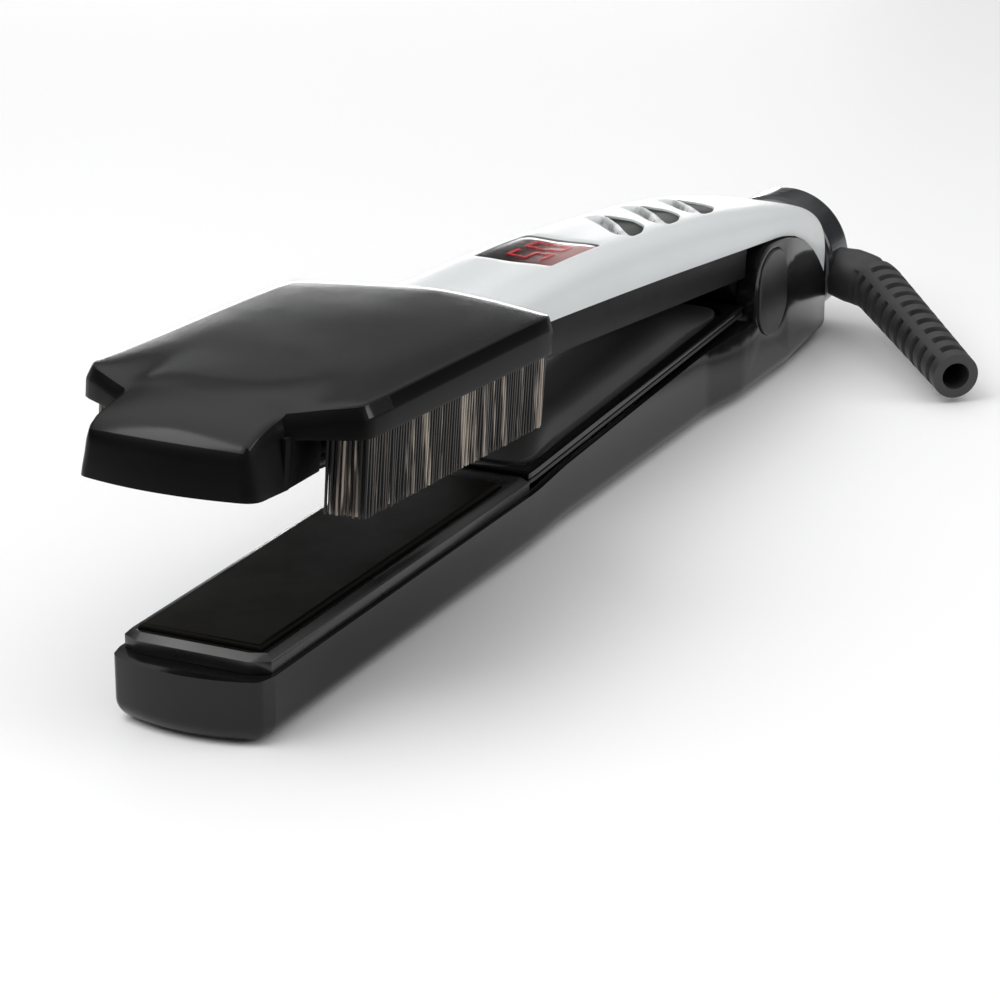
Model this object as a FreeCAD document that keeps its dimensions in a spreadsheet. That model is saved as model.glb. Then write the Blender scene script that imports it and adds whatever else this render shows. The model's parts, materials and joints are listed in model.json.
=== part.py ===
import FreeCAD, Part
import math
import os
import Sketcher

# A hair straightener with a clip-on brush head, in millimetres.
# The origin lies under the hinge pin, on the face that the lower arm rests on.
# X runs rearwards, Y to the left and Z up. The arms are drawn closed, in a frame whose
# origin is the middle of the hinge pin, and the upper arm's pieces are then swung open.

document = FreeCAD.newDocument("hair_straightener")
sheet = document.addObject("Spreadsheet::Sheet", "sizes")
nodes = []


class Length:
    """A cell of the sheet, or a sum worked out from cells, with its value now."""

    def __init__(self, text, value):
        self.text = text
        self.value = value

    def __add__(self, other):
        other = as_length(other)
        return Length(f"({self.text} + {other.text})", self.value + other.value)

    def __sub__(self, other):
        other = as_length(other)
        return Length(f"({self.text} - {other.text})", self.value - other.value)

    def __rsub__(self, other):
        return as_length(other) - self

    def __mul__(self, other):
        other = as_length(other)
        return Length(f"({self.text} * {other.text})", self.value * other.value)

    def __truediv__(self, other):
        other = as_length(other)
        return Length(f"({self.text} / {other.text})", self.value / other.value)

    def __neg__(self):
        return Length(f"(0 - {self.text})", -self.value)

    __radd__ = __add__
    __rmul__ = __mul__


def as_length(number):
    return number if isinstance(number, Length) else Length(repr(float(number)), float(number))


def size(name, value):
    row = len(sheet.getUsedCells()) + 1
    sheet.set(f"A{row}", str(value))
    sheet.setAlias(f"A{row}", name)
    return Length(f"sizes.{name}", float(value))


# ---- the whole tool ----
hinge_height = size("hinge_height", 22.3)
open_angle = size("open_angle", 7.0)
arm_reach = size("arm_reach", 246.5)
arm_width = size("arm_width", 33.2)
hip_width = size("hip_width", 35.4)
hip_bulge = size("hip_bulge", 2.0)
waist_width = hip_width - 2 * hip_bulge
nose_bow = size("nose_bow", 3.3)
nose_corner = size("nose_corner", 1.0)
wall = size("wall", 1.8)
play = size("play", 0.3)
running_play = size("running_play", 0.05)
screw_radius = size("screw_radius", 1.2)
screw_head = size("screw_head", 2.2)
screw_head_depth = size("screw_head_depth", 1.2)

# ---- heated plates ----
plate_width = size("plate_width", 26.0)
plate_length = size("plate_length", 100.0)
plate_thickness = size("plate_thickness", 2.2)
plate_inset = size("plate_inset", 8.6)
plates_gap = size("plates_gap", 0.4)
meeting_drop = size("meeting_drop", 4.6)
ledge_drop = size("ledge_drop", 5.0)
surround_lip = size("surround_lip", 1.0)
surround_margin = size("surround_margin", 0.9)
surround_front = size("surround_front", 2.5)
surround_tail = size("surround_tail", 8.5)
surround_bevel = size("surround_bevel", 1.3)
surround_skirt = size("surround_skirt", 2.4)
holder_thickness = size("holder_thickness", 5.4)
holder_rim = size("holder_rim", 2.4)
holder_floor = size("holder_floor", 1.4)
heater_setback = size("heater_setback", 11.0)
heater_width = size("heater_width", 16.0)
heater_thickness = size("heater_thickness", 1.6)
clip_thickness = size("clip_thickness", 0.5)
clip_setback = size("clip_setback", 9.0)
bead_radius = size("bead_radius", 1.2)
bead_length = size("bead_length", 7.0)
rib_thickness = size("rib_thickness", 2.0)

# ---- lower arm ----
rim_rise = size("rim_rise", 5.2)
cheek_radius = size("cheek_radius", 11.6)
cheek_gap = size("cheek_gap", 26.4)
hip_length = size("hip_length", 34.0)
rear_reach = size("rear_reach", 42.0)
rear_width = size("rear_width", 30.4)
rear_rim_drop = size("rear_rim_drop", 10.2)
bottom_round = size("bottom_round", 4.0)
cover_panel = size("cover_panel", 4.1)
cover_step = size("cover_step", 0.4)
pin_radius = size("pin_radius", 2.0)
pin_cap_width = size("pin_cap_width", 17.0)
cap_straight = size("cap_straight", 4.4)
cap_round = size("cap_round", 9.0)
pin_cap_depth = size("pin_cap_depth", 1.2)
pin_cap_proud = size("pin_cap_proud", 0.5)
spring_wire = size("spring_wire", 0.5)
spring_coil_radius = size("spring_coil_radius", 3.2)
spring_turns = size("spring_turns", 5)
spring_pitch = size("spring_pitch", 1.4)
spring_leg = size("spring_leg", 7.0)
board_front_gap = size("board_front_gap", 4.4)
board_rear_gap = size("board_rear_gap", 11.0)
board_post_inset = size("board_post_inset", 5.0)
board_width = size("board_width", 21.0)
board_thickness = size("board_thickness", 1.6)
board_height = size("board_height", 3.0)
fuse_radius = size("fuse_radius", 1.9)
fuse_length = size("fuse_length", 9.5)

# ---- cord swivel ----
swivel_height = size("swivel_height", 16.6)
socket_radius = size("socket_radius", 12.0)
socket_length = size("socket_length", 9.0)
spindle_radius = size("spindle_radius", 6.0)
spindle_bore = size("spindle_bore", 3.6)
spindle_tail = size("spindle_tail", 3.4)
ring_radius = size("ring_radius", 16.2)
ring_length = size("ring_length", 13.0)
ring_gap = size("ring_gap", 1.4)
ring_round = size("ring_round", 2.0)
keeper_thickness = size("keeper_thickness", 2.0)
keeper_radius = size("keeper_radius", 9.0)
sleeve_droop = size("sleeve_droop", 9.1)
sleeve_turn = size("sleeve_turn", 50.0)
sleeve_length = size("sleeve_length", 66.5)
sleeve_root = size("sleeve_root", 3.0)
sleeve_radius = size("sleeve_radius", 6.9)
sleeve_tip_radius = size("sleeve_tip_radius", 5.5)
sleeve_neck_radius = size("sleeve_neck_radius", 4.6)
sleeve_neck_length = size("sleeve_neck_length", 4.0)
sleeve_tip_length = size("sleeve_tip_length", 56.0)
sleeve_rib_count = size("sleeve_rib_count", 17)
sleeve_rib_depth = size("sleeve_rib_depth", 1.1)
cord_radius = size("cord_radius", 3.3)

# ---- upper arm ----
casing_lift = size("casing_lift", 5.0)
casing_rise = size("casing_rise", 4.5)
seam_gap = size("seam_gap", 0.5)
knuckle_radius = size("knuckle_radius", 8.6)
knuckle_gap = size("knuckle_gap", 11.0)
crown_power = size("crown_power", 3.6)
window_length = size("window_length", 26.0)
window_width = size("window_width", 18.0)
window_front = size("window_front", 109.0)
display_thickness = size("display_thickness", 2.0)
control_board_lead = size("control_board_lead", 9.0)
control_board_length = size("control_board_length", 107.0)
control_board_width = size("control_board_width", 24.0)
control_screw_length = size("control_screw_length", 5.0)
button_pitch = size("button_pitch", 20.5)
button_first = size("button_first", 57.0)
button_travel = size("button_travel", 0.6)
button_depth = size("button_depth", 2.5)
button_flange = size("button_flange", 0.8)
button_flange_width = size("button_flange_width", 1.0)
stem_radius = size("stem_radius", 1.5)
stem_back = size("stem_back", 0.5)
stem_side = size("stem_side", -4.6)
switch_width = size("switch_width", 6.0)
switch_height = size("switch_height", 1.8)

# ---- brush head ----
brush_wall = size("brush_wall", 1.2)
brush_width = size("brush_width", 60.4)
brush_nose_width = size("brush_nose_width", 36.8)
brush_nose_lead = size("brush_nose_lead", 6.5)
brush_nose_bow = size("brush_nose_bow", 3.4)
brush_notch = arm_reach - size("brush_notch_back", 10.5)
brush_wing_front = arm_reach - size("brush_wing_front_back", 15.9)
brush_wing_rear = arm_reach - size("brush_wing_rear_back", 97.0)
brush_rear_bow = size("brush_rear_bow", 4.5)
brush_hood_drop = size("brush_hood_drop", 3.0)
wing_foot_front = size("wing_foot_front", 6.3)
wing_foot_rear = size("wing_foot_rear", 10.3)
wing_plate = size("wing_plate", 1.6)
rail_drop = size("rail_drop", 3.0)
rail_thickness = size("rail_thickness", 1.3)
bristle_rows = size("bristle_rows", 3)
bristle_row_pitch = size("bristle_row_pitch", 2.7)
bristle_count = size("bristle_count", 25)
bristle_pitch = size("bristle_pitch", 2.95)
bristle_radius = size("bristle_radius", 0.8)
bristle_length = size("bristle_length", 16.0)
bristle_strip = size("bristle_strip", 2.0)

document.recompute()

# worked out once, in the hinge frame
arm_half = arm_width / 2
waist_half = waist_width / 2
hip_half = hip_width / 2
rear_half = rear_width / 2
nose_front = -(arm_reach - nose_bow)
floor_level = -hinge_height
rim_level = -(meeting_drop + ledge_drop)
plate_front = -(arm_reach - plate_inset)
plate_rear = plate_front + plate_length
plate_half = plate_width / 2
step_station = plate_rear + surround_tail
waist_station = step_station + 18
hip_station = -hip_length
lower_contact = -(meeting_drop + plates_gap / 2)
upper_contact = -(meeting_drop - plates_gap / 2)
swivel_level = -(hinge_height - swivel_height)
casing_bottom = -(meeting_drop - casing_lift)
heater_length = plate_length - 2 * heater_setback
clip_length = heater_length - 2 * clip_setback
board_start = waist_station + board_front_gap
board_length = hip_station - board_rear_gap - board_start


def behind_tip(name, distance):
    """A station, given as its distance behind the upper arm's tip."""
    return -(arm_reach - size(name, distance))



# the lower casing's top behind the hinge is an arch that leaves the cheeks level
arch_run = rear_reach + 2
arch_fall = cheek_radius + rear_rim_drop
rear_arch = (arch_run * arch_run + arch_fall * arch_fall) / (2 * arch_fall)


def over_arch(share):
    """A point a seam's gap over the arch, given where it lies with the arm closed."""
    station = rear_reach.value * share
    drop = rear_arch.value - math.sqrt(rear_arch.value ** 2 - station ** 2)
    height = cheek_radius.value - drop + seam_gap.value
    turn = math.radians(open_angle.value)
    return (
        as_length(station * math.cos(turn) - height * math.sin(turn)),
        as_length(station * math.sin(turn) + height * math.cos(turn)),
    )


# the upper arm's seam between casing and cover, as station and height, from nose to rear
seam = [
    (behind_tip("seam_nose_back", 3.3), size("seam_nose_height", 3.0)),
    (behind_tip("seam_tip_back", 16.5), size("seam_tip_height", 4.6)),
    (behind_tip("seam_plate_back", 56.5), size("seam_plate_height", 7.6)),
    (behind_tip("seam_brush_back", 96.5), size("seam_brush_height", 9.8)),
    (size("seam_grip_station", -120.0), size("seam_grip_height", 10.6)),
    (size("seam_hinge_station", 3.0), size("seam_hinge_height", 12.4)),
]
seam += [over_arch(share) for share in (0.2, 0.4, 0.58, 0.72, 0.84, 0.94, 1.02)]

# the white cover's crown, as station, half width and ridge height, from nose to rear
crown = [
    (behind_tip("crown_nose_back", 3.5), size("crown_nose_half", 15.4), size("crown_nose_ridge", 5.2)),
    (behind_tip("crown_tip_back", 12.5), size("crown_tip_half", 16.4), size("crown_tip_ridge", 8.6)),
    (behind_tip("crown_front_back", 31.5), size("crown_front_half", 16.5), size("crown_front_ridge", 11.6)),
    (behind_tip("crown_plate_back", 61.5), size("crown_plate_half", 16.5), size("crown_plate_ridge", 14.2)),
    (behind_tip("crown_brush_back", 101.5), size("crown_brush_half", 16.4), size("crown_brush_ridge", 16.8)),
    (size("crown_window", -100.0), size("crown_window_half", 15.8), size("crown_window_ridge", 20.5)),
    (size("crown_peak", -60.0), size("crown_peak_half", 15.7), size("crown_peak_ridge", 21.6)),
    (size("crown_grip", -25.0), size("crown_grip_half", 16.2), size("crown_grip_ridge", 21.4)),
    (size("crown_hinge", 5.0), size("crown_hinge_half", 16.5), size("crown_hinge_ridge", 19.7)),
    (size("crown_fall", 25.0), size("crown_fall_half", 16.0), size("crown_fall_ridge", 17.4)),
    (size("crown_rim", 41.0), size("crown_rim_half", 15.2), size("crown_rim_ridge", 14.8)),
]

# a button's plan, a slanted leaf, as distances behind and to the left of its own middle
button_plan = [
    (size("leaf_tip_back", 8.5), size("leaf_tip_side", 6.5)),
    (size("leaf_rear_back", 9.5), size("leaf_rear_side", -0.5)),
    (size("leaf_corner_back", 2.0), size("leaf_corner_side", -7.0)),
    (size("leaf_low_back", -5.5), size("leaf_low_side", -9.6)),
    (size("leaf_front_back", -12.0), size("leaf_front_side", -9.8)),
    (size("leaf_bay_back", -8.0), size("leaf_bay_side", -6.5)),
    (size("leaf_middle_back", -0.7), size("leaf_middle_side", -2.0)),
    (size("leaf_neck_back", 5.0), size("leaf_neck_side", 2.6)),
]

# the brush shell's top, as station, ridge height and fall to the wings' edges
brush_top = [
    (behind_tip("brush_tip_back", -10.0), size("brush_tip_ridge", 1.0), size("brush_tip_fall", 0.6)),
    (behind_tip("brush_nose_back", -3.0), size("brush_nose_ridge", 6.2), size("brush_nose_fall", 0.6)),
    (behind_tip("brush_brow_back", 4.5), size("brush_brow_ridge", 10.2), size("brush_brow_fall", 0.7)),
    (behind_tip("brush_brim_back", 12.5), size("brush_brim_ridge", 13.2), size("brush_brim_fall", 0.7)),
    (behind_tip("brush_middle_back", 54.5), size("brush_middle_ridge", 16.0), size("brush_middle_fall", 0.9)),
    (behind_tip("brush_tail_back", 102.5), size("brush_tail_ridge", 19.6), size("brush_tail_fall", 1.3)),
]

document.recompute()


def place(item, frame):
    """Stands a piece on the lower arm, swings it with the upper one, or turns it with the swivel."""
    axis = {"lower": (0, 1, 0), "upper": (0, 1, 0), "swivel": (1, 0, 0)}[frame]
    angle = {"lower": as_length(0), "upper": open_angle, "swivel": sleeve_droop}[frame]
    height = swivel_height if frame == "swivel" else hinge_height
    item.Placement = FreeCAD.Placement(
        FreeCAD.Vector(0, 0, height.value), FreeCAD.Rotation(FreeCAD.Vector(*axis), max(angle.value, 0.001))
    )
    item.setExpression("Placement.Base.z", height.text)
    item.setExpression("Placement.Rotation.Angle", angle.text)


def new_body(label, frame, several=False):
    body = document.addObject("PartDesign::Body", label)
    body.Label = label
    body.AllowCompound = several
    place(body, frame)
    nodes.append(body)
    return body


def new_piece(label, frame, shape):
    """A piece whose shape comes from lofts, which a body's features don't offer."""
    piece = document.addObject("Part::Feature", label)
    piece.Label = label
    piece.Shape = shape
    place(piece, frame)
    nodes.append(piece)
    return piece


def sketch_on(body, role, level=0):
    """A sketch on one of the body's own planes, moved along the plane's normal."""
    plane = next(item for item in body.Origin.OriginFeatures if item.Role == role)
    sketch = body.newObject("Sketcher::SketchObject", f"{body.Name}_sketch")
    sketch.AttachmentSupport = [(plane, "")]
    sketch.MapMode = "FlatFace"
    sketch.setExpression("AttachmentOffset.Base.z", as_length(level).text)
    return sketch


def bind(item, path, length):
    length = as_length(length)
    if "sizes." in length.text:
        item.setExpression(path, length.text)


def fix_point(sketch, edge, end, u, v):
    for kind, length in (("DistanceX", as_length(u)), ("DistanceY", as_length(v))):
        number = sketch.addConstraint(Sketcher.Constraint(kind, edge, end, length.value))
        bind(sketch, f"Constraints[{number}]", length)


def fix_radius(sketch, edge, radius):
    number = sketch.addConstraint(Sketcher.Constraint("Radius", edge, as_length(radius).value))
    bind(sketch, f"Constraints[{number}]", radius)


def arc_middle(begin, finish, radius, outward):
    """The middle of an arc between two points, on the right of the way or on its left."""
    chord = finish - begin
    sagitta = radius - math.sqrt(radius * radius - (chord.Length / 2) ** 2)
    right = FreeCAD.Vector(chord.y, -chord.x, 0).normalize()
    return (begin + finish) / 2 + right * (sagitta if outward else -sagitta)


def outline(sketch, corners, arcs=None):
    """A closed outline whose corners are all held by the sheet; arcs are edge: (radius, outward)."""
    arcs = arcs or {}
    points = [FreeCAD.Vector(as_length(u).value, as_length(v).value, 0) for u, v in corners]
    edges = []
    for index, begin in enumerate(points):
        finish = points[(index + 1) % len(points)]
        if index in arcs:
            radius, outward = arcs[index]
            middle = arc_middle(begin, finish, radius.value, outward)
            first = 1 if outward else 2
            shape = Part.Arc(begin, middle, finish) if outward else Part.Arc(finish, middle, begin)
        else:
            first = 1
            shape = Part.LineSegment(begin, finish)
        number = sketch.addGeometry(shape, False)
        edges.append((number, first, 3 - first))
    for index, (number, first, last) in enumerate(edges):
        following, following_first, _ = edges[(index + 1) % len(edges)]
        sketch.addConstraint(Sketcher.Constraint("Coincident", number, last, following, following_first))
        fix_point(sketch, number, first, *corners[index])
        if index in arcs:
            fix_radius(sketch, number, arcs[index][0])
    return sketch


def circle(sketch, u, v, radius):
    centre = FreeCAD.Vector(as_length(u).value, as_length(v).value, 0)
    number = sketch.addGeometry(Part.Circle(centre, FreeCAD.Vector(0, 0, 1), as_length(radius).value), False)
    fix_point(sketch, number, 3, u, v)
    fix_radius(sketch, number, radius)
    return sketch


def rectangle(sketch, left, right, low, high):
    return outline(sketch, [(left, low), (right, low), (right, high), (left, high)])


def both_sides(half):
    """A plan outline from its left half, given from front to rear."""
    return [(x, -y) for x, y in half] + [(x, y) for x, y in reversed(half)]


def extend(body, kind, sketch, length, symmetric, reverse):
    feature = body.newObject(f"PartDesign::{kind}", f"{body.Name}_{kind.lower()}")
    feature.Profile = sketch
    feature.Length = as_length(length).value
    bind(feature, "Length", length)
    if symmetric:
        feature.SideType = "Symmetric"
    feature.Reversed = reverse
    document.recompute()
    return feature


def pad(body, sketch, length, symmetric=False, reverse=False):
    return extend(body, "Pad", sketch, length, symmetric, reverse)


def pocket(body, sketch, length, symmetric=False, reverse=False):
    before = body.Shape.Volume
    feature = extend(body, "Pocket", sketch, length, symmetric, reverse)
    if body.Shape.Volume > before - 1e-3:
        raise ValueError(f"a pocket of {body.Label} cuts nothing")
    return feature


def dress(body, kind, size_of_it, chosen):
    """A fillet or chamfer on the edges that chosen() picks by their ends."""
    base = body.Tip
    names = [f"Edge{index + 1}" for index, edge in enumerate(base.Shape.Edges) if chosen(edge)]
    if not names:
        raise ValueError(f"no edge of {body.Label} to dress")
    feature = body.newObject(f"PartDesign::{kind}", f"{body.Name}_{kind.lower()}")
    feature.Base = (base, names)
    path = "Radius" if kind == "Fillet" else "Size"
    setattr(feature, path, as_length(size_of_it).value)
    bind(feature, path, size_of_it)
    document.recompute()
    return feature


def upright(edge):
    low, high = edge.Vertexes[0].Point, edge.Vertexes[-1].Point
    return math.hypot(low.x - high.x, low.y - high.y) < 1e-4 and abs(low.z - high.z) > 0.5


def lies_at(level, tolerance=1e-4):
    return lambda edge: all(abs(vertex.Point.z - level) < tolerance for vertex in edge.Vertexes)


def bow_radius(half_chord, bow):
    return (half_chord * half_chord + bow * bow) / (2 * bow)


# ---- lines that several pieces share ----
rise_start = step_station + 4
rise_end = -cheek_radius


def rim_at(station):
    """The lower casing's rim, which climbs along the grip."""
    return rim_level + rim_rise * (station - rise_start) / (rise_end - rise_start)


def arm_plan(inset, rear):
    """Half of an arm's plan from nose to grip, moved inwards."""
    return [
        (nose_front + inset, arm_half - nose_corner - inset),
        (nose_front + inset + 4 * nose_corner, arm_half - inset),
        (step_station, arm_half - inset),
        (waist_station, waist_half - inset),
        (rear, waist_half - inset),
    ]


holder_top = lower_contact - plate_thickness
holder_bottom = holder_top - holder_thickness
upper_holder_bottom = upper_contact + plate_thickness
cheek_half = cheek_gap / 2
skirt_front = plate_front - 1.2
skirt_rear = step_station - wall
boss_height = board_height
cover_front = step_station + play
cover_end = -(cheek_radius + 1.4)
cover_screws = [waist_station - 2, hip_station - 6]
board_posts = [board_start + board_length - board_post_inset, board_start + board_post_inset]
holder_ribs = [plate_front + plate_length / 5, plate_rear - plate_length / 5]


def lower_casing():
    body = new_body("lower_casing", "lower")
    half = arm_plan(0, hip_station) + [
        (hip_station / 2, hip_half),
        (cheek_radius, hip_half),
        (rear_reach, rear_half),
    ]
    corners = both_sides(half)
    nose = {len(corners) - 1: (bow_radius(arm_half - nose_corner, nose_bow), True)}
    pad(body, outline(sketch_on(body, "XY_Plane", floor_level), corners, nose), hinge_height + cheek_radius)
    near_nose = nose_front.value + 8
    dress(body, "Fillet", 2.5 * nose_corner, lambda edge: upright(edge) and edge.CenterOfMass.x < near_nose)
    dress(
        body, "Fillet", hip_length,
        lambda edge: upright(edge) and near_nose < edge.CenterOfMass.x < rear_reach.value - 1,
    )
    dress(body, "Fillet", bottom_round, lies_at(floor_level.value))
    above = [
        (-(arm_reach + 10), cheek_radius + 2),
        (-(arm_reach + 10), rim_level),
        (rise_start, rim_level),
        (rise_end, rim_at(rise_end)),
        (rise_end, 0),
        (0, cheek_radius),
        (rear_reach + 2, -rear_rim_drop),
        (rear_reach + 10, -rear_rim_drop),
        (rear_reach + 10, cheek_radius + 2),
    ]
    rounds = {4: (cheek_radius, False), 5: (rear_arch, False)}
    sketch = outline(sketch_on(body, "XZ_Plane"), above, rounds)
    pocket(body, sketch, 2 * hip_width, symmetric=True)
    cheeks = cheek_radius + 3
    inner = arm_plan(wall, hip_station) + [
        (-cheeks, cheek_half),
        (cheeks, cheek_half),
        (rear_reach - socket_length - 1, socket_radius + play),
        (rear_reach + 1, socket_radius + play),
    ]
    inner[0] = (skirt_front - play, arm_half - wall)
    cavity = outline(sketch_on(body, "XY_Plane", floor_level + wall), both_sides(inner))
    pocket(body, cavity, hinge_height + cheek_radius, reverse=True)
    rib_half = arm_half - wall / 2
    for station in holder_ribs:
        rib = rectangle(
            sketch_on(body, "XY_Plane", floor_level + wall / 2),
            station - rib_thickness / 2, station + rib_thickness / 2, -rib_half, rib_half,
        )
        pad(body, rib, holder_bottom - floor_level - wall / 2)
    sketch = sketch_on(body, "XY_Plane", floor_level + wall / 2)
    for station in cover_screws:
        circle(sketch, station, 0, 2.6 * screw_radius)
    pad(body, sketch, wall / 2 + boss_height)
    sketch = sketch_on(body, "XY_Plane", floor_level + wall / 2)
    for station in board_posts:
        circle(sketch, station, 0, 2 * screw_radius)
    pad(body, sketch, wall / 2 + board_height)
    sketch = sketch_on(body, "XY_Plane", floor_level)
    for station in cover_screws:
        circle(sketch, station, 0, screw_radius + running_play)
    pocket(body, sketch, wall + boss_height + 1, reverse=True)
    sketch = sketch_on(body, "XY_Plane", floor_level)
    for station in cover_screws:
        circle(sketch, station, 0, screw_head + play)
    pocket(body, sketch, screw_head_depth + play, reverse=True)
    sketch = sketch_on(body, "XY_Plane", floor_level + wall)
    for station in board_posts:
        circle(sketch, station, 0, screw_radius + running_play)
    pocket(body, sketch, board_height + 1, reverse=True)
    bore = circle(sketch_on(body, "XZ_Plane"), 0, 0, pin_radius + running_play)
    pocket(body, bore, 2 * hip_width, symmetric=True)
    for side in (-1, 1):
        recess = cap_outline(body, side * (hip_half + 1), play / 3)
        pocket(body, recess, 1 + pin_cap_depth - pin_cap_proud, reverse=side < 0)


def cap_outline(body, offset, margin):
    """The hinge cap's oval on the XZ plane; the plane's normal points to the right side."""
    half = pin_cap_width / 2 + margin
    corners = [(half, -cap_straight), (half, cap_straight), (-half, cap_straight), (-half, -cap_straight)]
    rounds = {1: (cap_round + margin, True), 3: (cap_round + margin, True)}
    return outline(sketch_on(body, "XZ_Plane", offset), corners, rounds)


def hinge_caps():
    body = new_body("hinge_caps", "lower", several=True)
    for side in (-1, 1):
        base = hip_half - pin_cap_depth + pin_cap_proud
        pad(body, cap_outline(body, side * base, as_length(0)), pin_cap_depth, reverse=side < 0)
    outer = hip_half.value + pin_cap_proud.value
    dress(
        body, "Fillet", pin_cap_proud * 0.8,
        lambda edge: all(abs(abs(vertex.Point.y) - outer) < 1e-3 for vertex in edge.Vertexes),
    )


def hinge_pin():
    body = new_body("hinge_pin", "lower")
    length = hip_width - 2 * (pin_cap_depth - pin_cap_proud) - play
    pad(body, circle(sketch_on(body, "XZ_Plane"), 0, 0, pin_radius), length, symmetric=True)


def hinge_spring():
    """A coil round the pin with a leg for each arm."""
    height = (spring_pitch * spring_turns).value
    radius = spring_coil_radius.value
    wire = spring_wire.value
    upwards = FreeCAD.Vector(0, 0, 1)
    ring = Part.Wire(Part.makeCircle(wire, FreeCAD.Vector(radius, 0, 0), FreeCAD.Vector(0, 1, 0)))
    coil = Part.Wire(Part.makeHelix(spring_pitch.value, height, radius)).makePipeShell([ring], True, True)
    coil.translate(FreeCAD.Vector(0, 0, -height / 2))
    coil.rotate(FreeCAD.Vector(0, 0, 0), FreeCAD.Vector(1, 0, 0), -90)
    legs = [
        Part.makeCylinder(wire, spring_leg.value, FreeCAD.Vector(radius, -height / 2, 0), upwards),
        Part.makeCylinder(wire, spring_leg.value, FreeCAD.Vector(radius, height / 2, 0), -upwards),
    ]
    new_piece("hinge_spring", "lower", coil.multiFuse(legs))


def lower_cover():
    body = new_body("lower_cover", "lower")
    nose = cover_front + 14
    side = [
        (cover_front, rim_level),
        (rise_start, rim_level),
        (cover_end, rim_at(cover_end)),
        (cover_end, rim_at(cover_end) + cover_panel),
        (nose, rim_at(nose) + cover_panel),
        (cover_front, rim_level + cover_panel - cover_step),
    ]
    pad(body, outline(sketch_on(body, "XZ_Plane"), side), waist_width - 2 * cover_step, symmetric=True)
    roof = cover_panel - wall
    hollow = [
        (cover_front + wall, rim_level - 1),
        (rise_start, rim_level - 1),
        (cover_end - wall, rim_at(cover_end - wall) - 1),
        (cover_end - wall, rim_at(cover_end - wall) + roof),
        (nose, rim_at(nose) + roof),
        (cover_front + wall, rim_level + roof - cover_step),
    ]
    inside = waist_width - 2 * wall
    pocket(body, outline(sketch_on(body, "XZ_Plane"), hollow), inside, symmetric=True)
    foot = floor_level + wall + boss_height
    for station in cover_screws:
        post = circle(sketch_on(body, "XY_Plane", foot), station, 0, 2.4 * screw_radius)
        pad(body, post, rim_at(station) + roof + wall / 2 - foot)
    sketch = sketch_on(body, "XY_Plane", foot)
    for station in cover_screws:
        circle(sketch, station, 0, screw_radius + running_play)
    pocket(body, sketch, board_height * 2.5, reverse=True)


def screws(label, frame, stations, head_level, shaft_length, upwards):
    """Screws on the centre line; upwards ones have their heads at the bottom."""
    body = new_body(label, frame, several=True)
    heads = sketch_on(body, "XY_Plane", head_level)
    for station in stations:
        circle(heads, station, 0, screw_head)
    pad(body, heads, screw_head_depth, reverse=not upwards)
    shafts = sketch_on(body, "XY_Plane", head_level)
    for station in stations:
        circle(shafts, station, 0, screw_radius)
    pad(body, shafts, screw_head_depth + shaft_length, reverse=not upwards)


def surround(label, frame, rim, contact, upwards):
    """The frame round a heated plate; upwards says which way its plate faces."""
    body = new_body(label, frame)
    towards = 1 if upwards else -1
    front = nose_front + surround_front
    half = arm_half - surround_margin
    margin = 3 * surround_bevel
    plan = both_sides([(front, half - margin), (front + margin / 2, half), (step_station, half)])
    height = (contact - rim) * towards - surround_lip
    pad(body, outline(sketch_on(body, "XY_Plane", rim), plan), height, reverse=not upwards)
    face = rim.value + height.value * towards
    dress(body, "Chamfer", surround_bevel, lies_at(face))
    inside = arm_half - wall - play
    skirt = rectangle(
        sketch_on(body, "XY_Plane", rim), skirt_front, skirt_rear, -inside, inside
    )
    pad(body, skirt, surround_skirt, reverse=upwards)
    hole = rectangle(
        sketch_on(body, "XY_Plane", rim - towards * (surround_skirt + 1)),
        plate_front - play, plate_rear + play, -(plate_half + play), plate_half + play,
    )
    pocket(body, hole, height + surround_skirt + 2, reverse=upwards)


def plate(label, frame, contact, upwards):
    body = new_body(label, frame)
    sketch = rectangle(sketch_on(body, "XY_Plane", contact), plate_front, plate_rear, -plate_half, plate_half)
    pad(body, sketch, plate_thickness, reverse=upwards)
    dress(body, "Fillet", plate_thickness / 3, lies_at(contact.value))


def holder(label, frame, back, upwards):
    """The insulating tray behind a plate; back is the plate's rear face."""
    body = new_body(label, frame)
    half = plate_half - holder_rim / 4
    ends = (plate_front + holder_rim / 4, plate_rear - holder_rim / 4)
    tray = rectangle(sketch_on(body, "XY_Plane", back), *ends, -half, half)
    pad(body, tray, holder_thickness, reverse=upwards)
    pit = rectangle(
        sketch_on(body, "XY_Plane", back),
        ends[0] + holder_rim, ends[1] - holder_rim, -(half - holder_rim), half - holder_rim,
    )
    pocket(body, pit, holder_thickness - holder_floor, reverse=not upwards)


def heater(label, frame, back, upwards):
    body = new_body(label, frame)
    middle = (plate_front + plate_rear) / 2 - bead_length
    sketch = rectangle(
        sketch_on(body, "XY_Plane", back),
        middle - heater_length / 2, middle + heater_length / 2, -heater_width / 2, heater_width / 2,
    )
    pad(body, sketch, heater_thickness, reverse=upwards)


def heater_clip(label, frame, back, upwards):
    """A bowed spring strip that holds the heater against the plate."""
    body = new_body(label, frame)
    towards = -1 if upwards else 1
    middle = (plate_front + plate_rear) / 2 - bead_length
    near = back + towards * heater_thickness
    far = back + towards * (holder_thickness - holder_floor - clip_thickness)
    half = clip_length / 2
    quarter = clip_length / 6
    thick = towards * clip_thickness
    strip = [
        (middle - half, far), (middle - quarter, near), (middle + quarter, near), (middle + half, far),
        (middle + half, far + thick), (middle + quarter, near + thick),
        (middle - quarter, near + thick), (middle - half, far + thick),
    ]
    pad(body, outline(sketch_on(body, "XZ_Plane"), strip), heater_width / 2, symmetric=True)


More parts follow.
